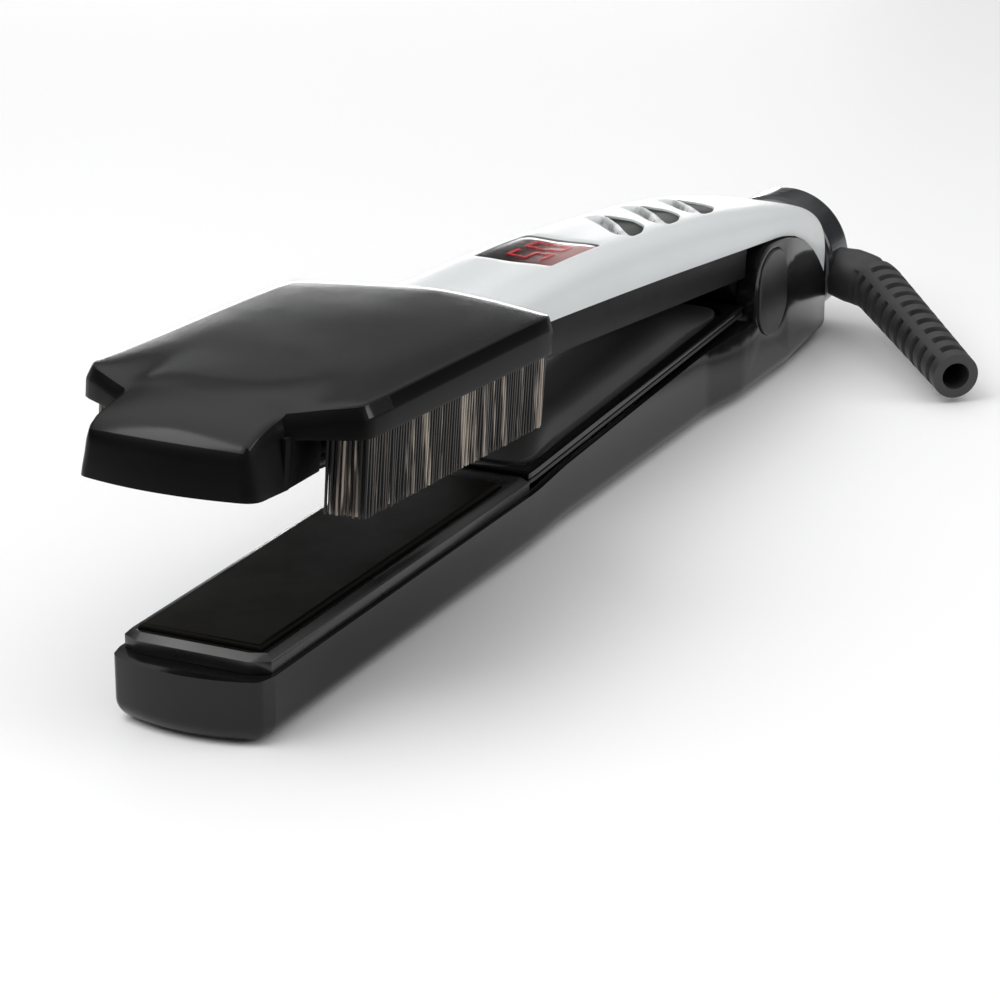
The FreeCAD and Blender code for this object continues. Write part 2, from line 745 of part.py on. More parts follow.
def bead(label, frame, back, upwards):
    """The temperature sensor, a bead that lies against the plate behind the heater."""
    body = new_body(label, frame)
    towards = -1 if upwards else 1
    station = (plate_front + plate_rear) / 2 - bead_length + heater_length / 2 + 2 * bead_radius
    level = back + towards * bead_radius
    sketch = circle(sketch_on(body, "XZ_Plane"), station, level, bead_radius)
    pad(body, sketch, bead_length, symmetric=True)


def thermal_fuse():
    body = new_body("thermal_fuse", "lower")
    level = floor_level + wall + fuse_radius
    sketch = circle(sketch_on(body, "YZ_Plane", step_station + 2), 0, level, fuse_radius)
    pad(body, sketch, fuse_length)


def power_board():
    body = new_body("power_board", "lower")
    level = floor_level + wall + board_height
    half = board_width / 2
    sketch = rectangle(
        sketch_on(body, "XY_Plane", level), board_start, board_start + board_length, -half, half
    )
    pad(body, sketch, board_thickness)
    top = level + board_thickness / 2
    front = board_start + board_post_inset + 2 * screw_head
    room = board_length - 2 * (board_post_inset + 2 * screw_head)
    transformer = rectangle(
        sketch_on(body, "XY_Plane", top), front + room * 0.06, front + room * 0.34, 2 - half, 1
    )
    pad(body, transformer, board_thickness / 2 + 4.4)
    capacitor = circle(sketch_on(body, "XY_Plane", top), front + room * 0.56, -4, room * 0.07)
    pad(body, capacitor, board_thickness / 2 + 5)
    relay = rectangle(
        sketch_on(body, "XY_Plane", top), front + room * 0.76, front + room * 0.95, -4, half - 2
    )
    pad(body, relay, board_thickness / 2 + 4)
    sketch = sketch_on(body, "XY_Plane", level)
    for station in board_posts:
        circle(sketch, station, 0, screw_radius + running_play)
    pocket(body, sketch, board_thickness + 1, reverse=True)


def swivel_socket():
    """The bearing block in the casing's rear, open to the swivel's spindle."""
    body = new_body("swivel_socket", "lower")
    start = rear_reach - socket_length
    foot = rectangle(
        sketch_on(body, "YZ_Plane", start), -socket_radius, socket_radius, floor_level + wall, swivel_level
    )
    pad(body, foot, socket_length)
    pad(body, circle(sketch_on(body, "YZ_Plane", start), 0, swivel_level, socket_radius), socket_length)
    bore = circle(sketch_on(body, "YZ_Plane", start), 0, swivel_level, spindle_radius + running_play)
    pocket(body, bore, socket_length + 1, reverse=True)


ring_front = rear_reach + ring_gap
ring_middle = ring_front + ring_length / 2
spindle_front = rear_reach - socket_length - spindle_tail


def swivel_ring():
    body = new_body("swivel_ring", "swivel")
    pad(body, circle(sketch_on(body, "YZ_Plane", ring_front), 0, 0, ring_radius), ring_length)
    dress(body, "Fillet", ring_round, lambda edge: edge.Length > 6 * ring_radius.value)
    bore = circle(sketch_on(body, "YZ_Plane", ring_front), 0, 0, spindle_bore)
    pocket(body, bore, ring_length / 2 + spindle_bore, reverse=True)
    outlet = circle(sketch_on(body, "XZ_Plane"), ring_middle, 0, sleeve_neck_radius + running_play)
    pocket(body, outlet, ring_radius + 1, reverse=True)


def swivel_spindle():
    """The hollow spindle on the ring's front face, which turns in the socket."""
    body = new_body("swivel_spindle", "swivel")
    sketch = sketch_on(body, "YZ_Plane", spindle_front)
    circle(sketch, 0, 0, spindle_radius)
    circle(sketch, 0, 0, spindle_bore)
    pad(body, sketch, ring_front - spindle_front)


def swivel_keeper():
    """The ring that keeps the spindle in its socket."""
    body = new_body("swivel_keeper", "swivel")
    sketch = sketch_on(body, "YZ_Plane", rear_reach - socket_length - play - keeper_thickness)
    circle(sketch, 0, 0, keeper_radius)
    circle(sketch, 0, 0, spindle_radius + running_play)
    pad(body, sketch, keeper_thickness)


def sleeve_point(turn, reach):
    """A point of the sleeve's bent centre line and its direction, in the swivel's frame."""
    bend = sleeve_bend.value
    start = ring_radius.value + play.value + sleeve_root.value
    x = ring_middle.value - bend * (1 - math.cos(turn)) - reach * math.sin(turn)
    y = -(start + bend * math.sin(turn) + reach * math.cos(turn))
    return FreeCAD.Vector(x, y, 0), FreeCAD.Vector(-math.sin(turn), -math.cos(turn), 0)


sleeve_bend = (sleeve_length - sleeve_tip_length) / (sleeve_turn * (math.pi / 180))


def ring_wire(point, direction, radius):
    return Part.Wire([Part.makeCircle(radius, point, direction)])


def sleeve_shape(thinner, taper, steps=8):
    """A tapered tube along the sleeve's bend and its straight run."""
    turn = math.radians(sleeve_turn.value)
    bent_share = 1 - sleeve_tip_length.value / sleeve_length.value
    wires = []
    for step in range(steps + 1):
        point, direction = sleeve_point(turn * step / steps, 0)
        wires.append(ring_wire(point, direction, thinner - taper * bent_share * step / steps))
    root, away = sleeve_point(0, 0)
    stem = Part.makeCylinder(thinner, sleeve_root.value, root - away * sleeve_root.value, away)
    point, direction = sleeve_point(turn, sleeve_tip_length.value)
    run = Part.makeLoft([wires[-1], ring_wire(point, direction, thinner - taper)], True, True)
    return Part.makeLoft(wires, True, False).multiFuse([stem, run])


def strain_relief():
    turn = math.radians(sleeve_turn.value)
    depth = sleeve_rib_depth.value
    taper = sleeve_radius.value - sleeve_tip_radius.value
    shape = sleeve_shape(sleeve_radius.value - depth, taper)
    ribs = []
    count = int(round(sleeve_rib_count.value))
    pitch = sleeve_length.value / count
    for number in range(count):
        along = pitch * (number + 0.2)
        bent = min(along / sleeve_bend.value, turn)
        beyond = max(0.0, along - sleeve_bend.value * turn)
        point, direction = sleeve_point(bent, beyond)
        radius = sleeve_radius.value - taper * along / sleeve_length.value
        ribs.append(Part.makeCylinder(radius, pitch * 0.5, point, direction))
    shape = shape.multiFuse(ribs)
    root, direction = sleeve_point(0, 0)
    neck_length = sleeve_root.value + play.value + sleeve_neck_length.value
    neck_start = root - direction * neck_length
    shape = shape.fuse(Part.makeCylinder(sleeve_neck_radius.value, neck_length + 1, neck_start, direction))
    entry = Part.makeCylinder(cord_radius.value, neck_length + 1, neck_start - direction, direction)
    shape = shape.cut(sleeve_shape(cord_radius.value, 0).fuse(entry))
    new_piece("strain_relief", "swivel", shape.removeSplitter())


# ---- upper arm ----
def prism(points, half_width):
    """A prism across the tool from an outline in X and Z."""
    corners = [FreeCAD.Vector(x, -half_width, z) for x, z in points]
    face = Part.Face(Part.makePolygon(corners + corners[:1]))
    return face.extrude(FreeCAD.Vector(0, 2 * half_width, 0))


casing_rear = -(cheek_radius + 1.6)
knuckle_half = cheek_half - play


def seam_height(station):
    """The seam's height at a station, between its listed points."""
    for (x0, z0), (x1, z1) in zip(seam, seam[1:]):
        if x0.value <= station.value <= x1.value:
            return z0 + (z1 - z0) * (station - x0) / (x1 - x0)
    return seam[0][1]


def upper_casing():
    body = new_body("upper_casing", "upper")
    plan = both_sides(arm_plan(0, casing_rear))
    nose = {len(plan) - 1: (bow_radius(arm_half - nose_corner, nose_bow), True)}
    top = seam[5][1] + 1
    pad(body, outline(sketch_on(body, "XY_Plane", casing_bottom), plan, nose), top - casing_bottom)
    near_nose = nose_front.value + 8
    dress(body, "Fillet", 2.5 * nose_corner, lambda edge: upright(edge) and edge.CenterOfMass.x < near_nose)
    step = step_station + 3
    below = [
        (step_station, casing_bottom - 1),
        (casing_rear + 1, casing_bottom - 1),
        (casing_rear + 1, casing_bottom + casing_rise),
        (step, casing_bottom + casing_rise / 2),
        (step_station, casing_bottom),
    ]
    pocket(body, outline(sketch_on(body, "XZ_Plane"), below), 2 * arm_width, symmetric=True)
    line = [(seam[0][0] - 10, seam[0][1])] + seam[:5] + [(casing_rear + 1, seam_height(casing_rear + 1))]
    above = line + [(casing_rear + 1, top + 1), (seam[0][0] - 10, top + 1)]
    pocket(body, outline(sketch_on(body, "XZ_Plane"), above), 2 * arm_width, symmetric=True)
    inside = waist_half - wall
    hollow = [
        (nose_front + 3 * wall, casing_bottom + wall),
        (step_station, casing_bottom + wall),
        (step, casing_bottom + casing_rise / 2 + wall),
        (casing_rear - 3 * wall, casing_bottom + casing_rise + wall),
        (casing_rear - 3 * wall, top + 2),
        (nose_front + 3 * wall, top + 2),
    ]
    pocket(body, outline(sketch_on(body, "XZ_Plane"), hollow), 2 * inside, symmetric=True)
    seat = rectangle(
        sketch_on(body, "XY_Plane", casing_bottom - 1),
        skirt_front - play, skirt_rear + play, wall - arm_half, arm_half - wall,
    )
    pocket(body, seat, 1 + surround_skirt + play, reverse=True)
    arm = [
        (casing_rear - 3 * wall, casing_bottom + casing_rise),
        (-knuckle_radius * 0.95, -knuckle_radius * 0.3),
        (knuckle_radius * 0.7, knuckle_radius * 0.7),
        (0, knuckle_radius),
        (casing_rear - 3 * wall, seam_height(casing_rear - 3 * wall) - wall),
    ]
    pad(body, outline(sketch_on(body, "XZ_Plane"), arm), 2 * knuckle_half, symmetric=True)
    pad(body, circle(sketch_on(body, "XZ_Plane"), 0, 0, knuckle_radius), 2 * knuckle_half, symmetric=True)
    slot_end = knuckle_radius + 1
    slot = rectangle(sketch_on(body, "XZ_Plane"), -knuckle_radius, slot_end, -slot_end, slot_end)
    pocket(body, slot, knuckle_gap, symmetric=True)
    bore = circle(sketch_on(body, "XZ_Plane"), 0, 0, pin_radius + running_play)
    pocket(body, bore, 2 * hip_width, symmetric=True)
    for station in control_posts:
        climb = (station - step) / (casing_rear + 1 - step)
        foot = casing_bottom + casing_rise / 2 * (1 + climb) + wall / 2
        post = circle(sketch_on(body, "XY_Plane", foot), station, 0, 2.2 * screw_radius)
        pad(body, post, control_level - foot)
    sketch = sketch_on(body, "XY_Plane", control_level + 1)
    for station in control_posts:
        circle(sketch, station, 0, screw_radius + running_play)
    pocket(body, sketch, 1 + control_screw_length)


control_level = seam[5][1] + 1.2
control_front = -(window_front + control_board_lead)
control_posts = [control_front + 42, control_front + 90]


crown_skirt = 6


def crown_wire(station, half, ridge, foot, depth):
    """A cross-section of the crown: a flattened half oval on short upright sides."""
    base = max(seam_height(Length("", station)).value, foot)
    height = ridge - base
    power = 2 / crown_power.value
    points = []
    for step in range(13):
        angle = math.pi * step / 12
        across = math.copysign(abs(math.cos(angle)) ** power, math.cos(angle))
        points.append(FreeCAD.Vector(station, half * across, base + height * math.sin(angle) ** power))
    spline = Part.BSplineCurve()
    spline.interpolate(points)
    low = foot - crown_skirt - depth
    left = FreeCAD.Vector(station, -half, low)
    right = FreeCAD.Vector(station, half, low)
    return Part.Wire([
        spline.toShape(),
        Part.makeLine(points[-1], left),
        Part.makeLine(left, right),
        Part.makeLine(right, points[0]),
    ])


def crown_solid(inset):
    """The crown moved inwards; an inner one runs on past the open rear."""
    wires = []
    for station, half, ridge in crown:
        foot = seam_height(station).value
        x = station.value + (2 * inset if station is crown[-1][0] else 0)
        wires.append(crown_wire(x, half.value - inset, ridge.value - inset, foot, inset))
    return Part.makeLoft(wires, True, False)


def crown_height(station):
    """The ridge's height over the crown's own frame."""
    for (x0, _, z0), (x1, _, z1) in zip(crown, crown[1:]):
        if x0.value <= station <= x1.value:
            return z0.value + (z1.value - z0.value) * (station - x0.value) / (x1.value - x0.value)
    return crown[-1][2].value


def under_seam():
    """Everything under the seam, where the casing or the cheeks are."""
    line = [(x.value, z.value) for x, z in seam]
    low = -60
    return prism([(line[0][0] - 20, line[0][1])] + line + [(line[-1][0] + 20, line[-1][1]),
                 (line[-1][0] + 20, low), (line[0][0] - 20, low)], arm_width.value)


def slab(front, rear, half, low, high):
    return Part.makeBox(rear - front, 2 * half, high - low, FreeCAD.Vector(front, -half, low))


def button_centre(number):
    return number * button_pitch.value - button_first.value


def button_prism(number, margin):
    """A button's plan, grown by a margin and stood upright."""
    middle = button_centre(number)
    points = [FreeCAD.Vector(middle + back.value, side.value, 0) for back, side in button_plan]
    face = Part.Face(Part.makePolygon(points + points[:1]))
    if margin:
        face = face.makeOffset2D(margin)
    return face.extrude(FreeCAD.Vector(0, 0, 60))


def window_box(margin):
    front = -window_front.value - margin
    rear = -window_front.value + window_length.value + margin
    return slab(front, rear, window_width.value / 2 + margin, 0, 60)


def crown_skin(outer, inner):
    """The part of the crown between two depths, over the seam."""
    return crown_solid(outer).cut(crown_solid(inner)).cut(under_seam())


def upper_cover_pieces():
    thickness = wall.value
    gap = play.value / 2
    nose_wall = slab(-400, nose_front.value + 2 * thickness, 60, -90, 90)
    shell = crown_solid(0).cut(crown_solid(thickness).cut(nose_wall)).cut(under_seam())
    cover = shell.cut(window_box(gap))
    for number in range(3):
        cover = cover.cut(button_prism(number, gap))
    new_piece("upper_cover", "upper", cover)
    new_piece("display_window", "upper", shell.common(window_box(0)))
    caps = crown_skin(0, button_depth.value)
    flange_top = thickness + play.value
    flanges = crown_skin(flange_top, flange_top + button_flange.value)
    low = (control_level + board_thickness + switch_height + button_travel).value + 0.1
    for number, name in enumerate(("button_front", "button_middle", "button_rear")):
        cap = caps.common(button_prism(number, 0))
        flange = flanges.common(button_prism(number, button_flange_width.value))
        foot = FreeCAD.Vector(button_centre(number) + stem_back.value, stem_side.value, low)
        top = crown_height(foot.x) - thickness
        stem = Part.makeCylinder(stem_radius.value, top - low, foot)
        new_piece(name, "upper", cap.fuse([flange, stem]).removeSplitter())


def control_board():
    body = new_body("control_board", "upper")
    half = control_board_width / 2
    sketch = rectangle(
        sketch_on(body, "XY_Plane", control_level),
        control_front, control_front + control_board_length, -half, half,
    )
    pad(body, sketch, board_thickness)
    sketch = sketch_on(body, "XY_Plane", control_level)
    for station in control_posts:
        circle(sketch, station, 0, screw_radius + running_play)
    pocket(body, sketch, board_thickness + 1, reverse=True)


def display_module():
    body = new_body("display_module", "upper")
    half = window_width / 2 - 1
    sketch = rectangle(
        sketch_on(body, "XY_Plane", control_level + board_thickness),
        -window_front + 2, -window_front + window_length - 2, -half, half,
    )
    pad(body, sketch, display_thickness)


def button_switches():
    body = new_body("button_switches", "upper", several=True)
    level = control_level + board_thickness
    half = switch_width / 2
    for number in range(3):
        middle = number * button_pitch - button_first + stem_back
        box = (middle - half, middle + half, stem_side - half, stem_side + half)
        pad(body, rectangle(sketch_on(body, "XY_Plane", level), *box), switch_height)


# ---- brush head ----
def brush_plan(inset):
    """The brush shell's plan, moved inwards, as a face at height nought."""
    nose = -(brush_notch.value + 2.2 * brush_nose_lead.value - 1) + inset
    nose_half = brush_nose_width.value / 2 - inset
    notch = -brush_notch.value + inset
    wing_front = -brush_wing_front.value + inset
    wing_half = brush_width.value / 2 - inset
    rear = -brush_wing_rear.value - (inset if inset else 0)
    bow = brush_rear_bow.value
    at = FreeCAD.Vector
    edges = [
        Part.Arc(
            at(nose, nose_half - 1, 0), at(nose - brush_nose_bow.value, 0, 0), at(nose, 1 - nose_half, 0)
        ),
        Part.LineSegment(at(nose, 1 - nose_half, 0), at(nose + 3, -nose_half, 0)),
        Part.LineSegment(at(nose + 3, -nose_half, 0), at(notch, -nose_half, 0)),
        Part.LineSegment(at(notch, -nose_half, 0), at(wing_front, 1.5 - wing_half, 0)),
        Part.LineSegment(at(wing_front, 1.5 - wing_half, 0), at(wing_front + 2, -wing_half, 0)),
        Part.LineSegment(at(wing_front + 2, -wing_half, 0), at(rear, -wing_half, 0)),
        Part.Arc(at(rear, -wing_half, 0), at(rear + bow, 0, 0), at(rear, wing_half, 0)),
        Part.LineSegment(at(rear, wing_half, 0), at(wing_front + 2, wing_half, 0)),
        Part.LineSegment(at(wing_front + 2, wing_half, 0), at(wing_front, wing_half - 1.5, 0)),
        Part.LineSegment(at(wing_front, wing_half - 1.5, 0), at(notch, nose_half, 0)),
        Part.LineSegment(at(notch, nose_half, 0), at(nose + 3, nose_half, 0)),
        Part.LineSegment(at(nose + 3, nose_half, 0), at(nose, nose_half - 1, 0)),
    ]
    return Part.Face(Part.Wire([edge.toShape() for edge in edges]))


def brush_ridge(station):
    for (x0, z0, _), (x1, z1, _) in zip(brush_top, brush_top[1:]):
        if x0.value <= station <= x1.value:
            return z0.value + (z1.value - z0.value) * (station - x0.value) / (x1.value - x0.value)
    return brush_top[-1][1].value


def brush_slab(inset):
    """A wide slab under the brush's crowned top."""
    wires = []
    half = brush_width.value * 2 / 3
    for station, ridge, fall in brush_top:
        edge = ridge.value - fall.value * 16 / 9 - inset
        at = FreeCAD.Vector
        left, right = at(station.value, -half, edge), at(station.value, half, edge)
        arc = Part.Arc(right, at(station.value, 0, ridge.value - inset), left).toShape()
        low_left, low_right = at(station.value, -half, -40), at(station.value, half, -40)
        wires.append(Part.Wire([
            arc,
            Part.makeLine(left, low_left),
            Part.makeLine(low_left, low_right),
            Part.makeLine(low_right, right),
        ]))
    return Part.makeLoft(wires, True, True)


def wing_bottom(station):
    """The wings' lower edge, which climbs from their front to their rear."""
    front = -brush_wing_front.value
    climb = (station - front) / (-brush_wing_rear.value - front)
    return wing_foot_front.value + (wing_foot_rear.value - wing_foot_front.value) * climb


def brush_solid(inset):
    plan = brush_plan(inset)
    plan.translate(FreeCAD.Vector(0, 0, -30))
    return brush_slab(inset).common(plan.extrude(FreeCAD.Vector(0, 0, 90)))


def brush_shell():
    notch = -brush_notch.value
    rear = -brush_wing_rear.value + brush_rear_bow.value
    hood = -brush_hood_drop.value
    below = prism([
        (notch - 40, hood), (notch - 1, hood), (notch + 2.5, wing_bottom(notch)),
        (rear + 2, wing_bottom(-brush_wing_rear.value)), (rear + 2, -60), (notch - 40, -60),
    ], 80)
    outer = brush_solid(0).cut(below)
    way_top = brush_ridge(rear) - 2 * brush_wall.value
    way = slab(-brush_wing_rear.value - 4, rear + 5, arm_half.value + play.value, -60, way_top)
    new_piece("brush_shell", "upper", outer.cut(brush_solid(brush_wall.value)).cut(way))


def wing_plates():
    """The plates that close the wings and carry the bristle strips, with rails for the arm."""
    front = wing_front_station
    rear = wing_rear_station
    rail_inner = arm_half + play
    outer = brush_width / 2 - brush_wall - play
    for side, name in ((-1, "brush_frame_right"), (1, "brush_frame_left")):
        body = new_body(name, "upper")
        low_front = wing_low_front
        low_rear = wing_low_rear
        plate_side = [
            (front, low_front), (rear, low_rear),
            (rear, low_rear + wing_plate), (front, low_front + wing_plate),
        ]
        sketch = outline(sketch_on(body, "XZ_Plane", -side * rail_inner), plate_side)
        pad(body, sketch, outer - rail_inner, reverse=side > 0)
        rail = [
            (front, low_front - rail_drop), (rear, low_front - rail_drop),
            (rear, low_rear + wing_plate), (front, low_front + wing_plate),
        ]
        sketch = outline(sketch_on(body, "XZ_Plane", -side * rail_inner), rail)
        pad(body, sketch, rail_thickness, reverse=side > 0)


def bristles():
    """A strip under each wing and its bristles, whose rows follow the wing's slope."""
    start = wing_front_station + bristle_radius + 0.5
    end = start + bristle_pitch * (bristle_count - 1)
    margin = bristle_radius + 0.5
    slope = (wing_low_rear - wing_low_front) / (wing_rear_station - wing_front_station)
    front_low = wing_low_front + slope * (start - margin - wing_front_station)
    rear_low = wing_low_front + slope * (end + margin - wing_front_station)
    outermost = brush_width / 2 - brush_wall - 2 * bristle_radius
    innermost = outermost - bristle_row_pitch * (bristle_rows - 1)
    rows = int(round(bristle_rows.value))
    for side, name in ((-1, "bristles_right"), (1, "bristles_left")):
        body = new_body(name, "upper")
        strip = [
            (start - margin, front_low - bristle_strip), (end + margin, rear_low - bristle_strip),
            (end + margin, rear_low), (start - margin, front_low),
        ]
        sketch = outline(sketch_on(body, "XZ_Plane", -side * (innermost - margin)), strip)
        pad(body, sketch, outermost - innermost + 2 * margin, reverse=side > 0)
        root = wing_low_front + slope * (start - wing_front_station) - bristle_strip / 2
        tips = sketch_on(body, "XY_Plane", root)
        for row in range(rows):
            circle(tips, start, side * (outermost - row * bristle_row_pitch), bristle_radius)
        first = pad(body, tips, bristle_length - bristle_strip / 2, reverse=True)
        run = body.newObject("PartDesign::LinearPattern", f"{name}_pattern")
        run.Originals = [first]
        run.Direction = (sketch, ["Edge1"])
        run.Length = pattern_length(start, end, slope)
        run.Occurrences = int(round(bristle_count.value))
        body.Tip = run
        document.recompute()


def pattern_length(start, end, slope):
    return (end - start).value * math.hypot(1, slope.value)


wing_front_station = -brush_wing_front + brush_wall + 2.2
wing_rear_station = -brush_wing_rear - brush_wall - play
wing_low_front = wing_foot_front + 0.8
wing_low_rear = wing_foot_rear + 0.8

lower_casing()
lower_cover()
hinge_pin()
hinge_caps()
hinge_spring()
surround("lower_surround", "lower", rim_level, lower_contact, True)
plate("lower_plate", "lower", lower_contact, True)
holder("lower_holder", "lower", holder_top, True)
heater("lower_heater", "lower", holder_top, True)
heater_clip("lower_heater_clip", "lower", holder_top, True)
bead("lower_sensor", "lower", holder_top, True)
thermal_fuse()
power_board()
screws("casing_screws", "lower", cover_screws, floor_level + play, 9, True)
board_top = floor_level + wall + board_height + board_thickness
screws("board_screws", "lower", board_posts, board_top + screw_head_depth, 3, False)
swivel_socket()
swivel_ring()
swivel_spindle()
swivel_keeper()
strain_relief()
upper_casing()
upper_cover_pieces()
surround("upper_surround", "upper", casing_bottom, upper_contact, False)
plate("upper_plate", "upper", upper_contact, False)
holder("upper_holder", "upper", upper_holder_bottom, False)
heater("upper_heater", "upper", upper_holder_bottom, False)
heater_clip("upper_heater_clip", "upper", upper_holder_bottom, False)
bead("upper_sensor", "upper", upper_holder_bottom, False)
control_board()
screws("control_screws", "upper", control_posts, control_level + board_thickness + screw_head_depth, 4, False)
display_module()
button_switches()
brush_shell()
wing_plates()
bristles()

document.recompute()
os.makedirs("parts", exist_ok=True)
for item in document.Objects:
    if "Invalid" in item.State or "Error" in item.State:
        raise ValueError(f"{item.Label} failed: {item.State}")
for node in nodes:
    if node.Shape.isNull() or not node.Shape.isValid():
        raise ValueError(f"{node.Label} has no valid shape")
for node in nodes:
    node.Shape.exportStep(f"parts/{node.Label}.step")
    print(node.Label, len(node.Shape.Solids), round(node.Shape.Volume, 1))
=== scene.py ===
import bpy
import math
import random
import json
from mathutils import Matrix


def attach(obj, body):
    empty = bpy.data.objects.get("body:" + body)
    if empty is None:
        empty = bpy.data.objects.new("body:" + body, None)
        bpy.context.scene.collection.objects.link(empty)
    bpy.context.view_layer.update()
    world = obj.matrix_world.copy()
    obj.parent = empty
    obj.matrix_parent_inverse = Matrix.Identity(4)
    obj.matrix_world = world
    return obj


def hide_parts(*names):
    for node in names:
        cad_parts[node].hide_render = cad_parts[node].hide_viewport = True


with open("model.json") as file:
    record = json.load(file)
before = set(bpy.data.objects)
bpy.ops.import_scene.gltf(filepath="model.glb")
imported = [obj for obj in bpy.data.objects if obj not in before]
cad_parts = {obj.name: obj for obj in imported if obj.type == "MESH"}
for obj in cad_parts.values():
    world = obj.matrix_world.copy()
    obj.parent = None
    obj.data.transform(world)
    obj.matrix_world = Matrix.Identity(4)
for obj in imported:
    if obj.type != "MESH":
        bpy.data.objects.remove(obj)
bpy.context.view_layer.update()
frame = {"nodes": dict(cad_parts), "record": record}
record = frame["record"]
bodyOf = {node: body for body, nodes in record["behaviour"]["bodies"].items() for node in nodes}
slotOf = {part["node"]: part["material_slot"] for part in record["subparts"]}
mm = 0.001
print("frame loaded,", len(frame["nodes"]), "nodes")

hinge = {"height": 22.3, "opening": 7.0}
mergeGap = {"drawn": 0.000002, "fromCad": 0.000004}


def objectMode():
    if bpy.context.object and bpy.context.object.mode != "OBJECT":
        bpy.ops.object.mode_set(mode="OBJECT")


def clearSelection():
    objectMode()
    bpy.ops.object.select_all(action="DESELECT")


def makeActive(piece, *others):
    clearSelection()
    for other in others:
        other.select_set(True)
    piece.select_set(True)
    bpy.context.view_layer.objects.active = piece


def editAll(piece):
    makeActive(piece)
    bpy.ops.object.mode_set(mode="EDIT")
    bpy.ops.mesh.select_mode(type="VERT")
    bpy.ops.mesh.select_all(action="SELECT")


def applyAll(piece):
    makeActive(piece)
    for modifier in list(piece.modifiers):
        bpy.ops.object.modifier_apply(modifier=modifier.name)


def addBevel(piece, width, segments=2, angle=40):
    bevel = piece.modifiers.new("rounding", "BEVEL")
    bevel.width = width * mm
    bevel.segments = segments
    bevel.limit_method = "ANGLE"
    bevel.angle_limit = math.radians(angle)
    bevel.miter_outer = "MITER_ARC"
    applyAll(piece)


def addWall(piece, thickness):
    wall = piece.modifiers.new("wall", "SOLIDIFY")
    wall.thickness = thickness * mm
    wall.offset = -1
    applyAll(piece)


def cutWith(piece, cutter, operation="DIFFERENCE"):
    cut = piece.modifiers.new("cut", "BOOLEAN")
    cut.operation = operation
    cut.solver = "EXACT"
    cut.object = cutter
    applyAll(piece)
    bpy.data.objects.remove(cutter)


def copyOf(piece, name):
    twin = bpy.data.objects.new(name, piece.data.copy())
    bpy.context.collection.objects.link(twin)
    return twin


def smoothShade(piece, angle=35):
    makeActive(piece)
    bpy.ops.object.shade_smooth_by_angle(angle=math.radians(angle))


def settle(piece):
    # the place goes into the mesh, so patterns read it there
    makeActive(piece)
    bpy.ops.object.transform_apply(location=True, rotation=True, scale=True)


def swingOpen(piece):
    # pieces of the upper arm are drawn closed, with the pin at the origin
    settle(piece)
    piece.rotation_euler = (0, math.radians(hinge["opening"]), 0)
    piece.location = (0, 0, hinge["height"] * mm)
    settle(piece)


def outwards(piece):
    editAll(piece)
    bpy.ops.mesh.remove_doubles(threshold=mergeGap["drawn"])
    bpy.ops.mesh.normals_make_consistent(inside=False)
    objectMode()


def sheetFromRows(name, rows):
    # a grid whose rows are laid over the given points, in millimetres
    clearSelection()
    across = len(rows[0]) - 1
    bpy.ops.mesh.primitive_grid_add(x_subdivisions=len(rows) - 1, y_subdivisions=across, size=1)
    sheet = bpy.context.object
    sheet.name = name
    order = sorted(sheet.data.vertices, key=lambda vert: (round(vert.co.x, 5), round(vert.co.y, 5)))
    points = [point for row in rows for point in row]
    for vert, point in zip(order, points):
        vert.co = [value * mm for value in point]
    return sheet


def leafOutline(name, corners, low, high):
    # an upright prism over a drawn outline, made from a circle whose corners are moved
    clearSelection()
    bpy.ops.mesh.primitive_circle_add(vertices=len(corners), radius=mm, fill_type="NGON")
    prism = bpy.context.object
    prism.name = name
    for vert, (x, y) in zip(prism.data.vertices, corners):
        vert.co = (x * mm, y * mm, low * mm)
    editAll(prism)
    bpy.ops.mesh.extrude_region_move(TRANSFORM_OT_translate={"value": (0, 0, (high - low) * mm)})
    bpy.ops.mesh.select_all(action="SELECT")
    bpy.ops.mesh.normals_make_consistent(inside=False)
    objectMode()
    return prism


def between(table, station, column):
    # a smooth value between a table's rows
    if station <= table[0][0]:
        return table[0][column]
    for index in range(len(table) - 1):
        x0, x1 = table[index][0], table[index + 1][0]
        if station <= x1:
            y0, y1 = table[index][column], table[index + 1][column]
            before = table[max(index - 1, 0)]
            after = table[min(index + 2, len(table) - 1)]
            slope = (y1 - y0) / (x1 - x0)
            startSlope = slope if index == 0 else (y1 - before[column]) / (x1 - before[0])
            endSlope = slope if index + 2 >= len(table) else (after[column] - y0) / (after[0] - x0)
            share = (station - x0) / (x1 - x0)
            run = x1 - x0
            return (
                y0 * (1 + 2 * share) * (1 - share) ** 2
                + startSlope * run * share * (1 - share) ** 2
                + y1 * share * share * (3 - 2 * share)
                - endSlope * run * share * share * (1 - share)
            )
    return table[-1][column]


def straight(table, station):
    for (x0, z0), (x1, z1) in zip(table, table[1:]):
        if station <= x1:
            return z0 + (z1 - z0) * max(0, station - x0) / (x1 - x0)
    return table[-1][1]


def ease(share):
    share = min(max(share, 0), 1)
    return share * share * (3 - 2 * share)


def rides(piece, body, material):
    piece.data.materials.clear()
    piece.data.materials.append(material)
    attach(piece, body)


def newGroup(name, inputs, outputs):
    group = bpy.data.node_groups.new(name, "ShaderNodeTree")
    for socketName, kind, value in inputs:
        socket = group.interface.new_socket(name=socketName, in_out="INPUT", socket_type=kind)
        socket.default_value = value
    for socketName, kind in outputs:
        group.interface.new_socket(name=socketName, in_out="OUTPUT", socket_type=kind)
    start = group.nodes.new("NodeGroupInput")
    end = group.nodes.new("NodeGroupOutput")
    return group, start, end


def addNode(tree, kind):
    return tree.nodes.new("ShaderNode" + kind)


def setInputs(node, values):
    for name, value in values.items():
        node.inputs[name].default_value = value


def link(tree, start, end):
    tree.links.new(start, end)


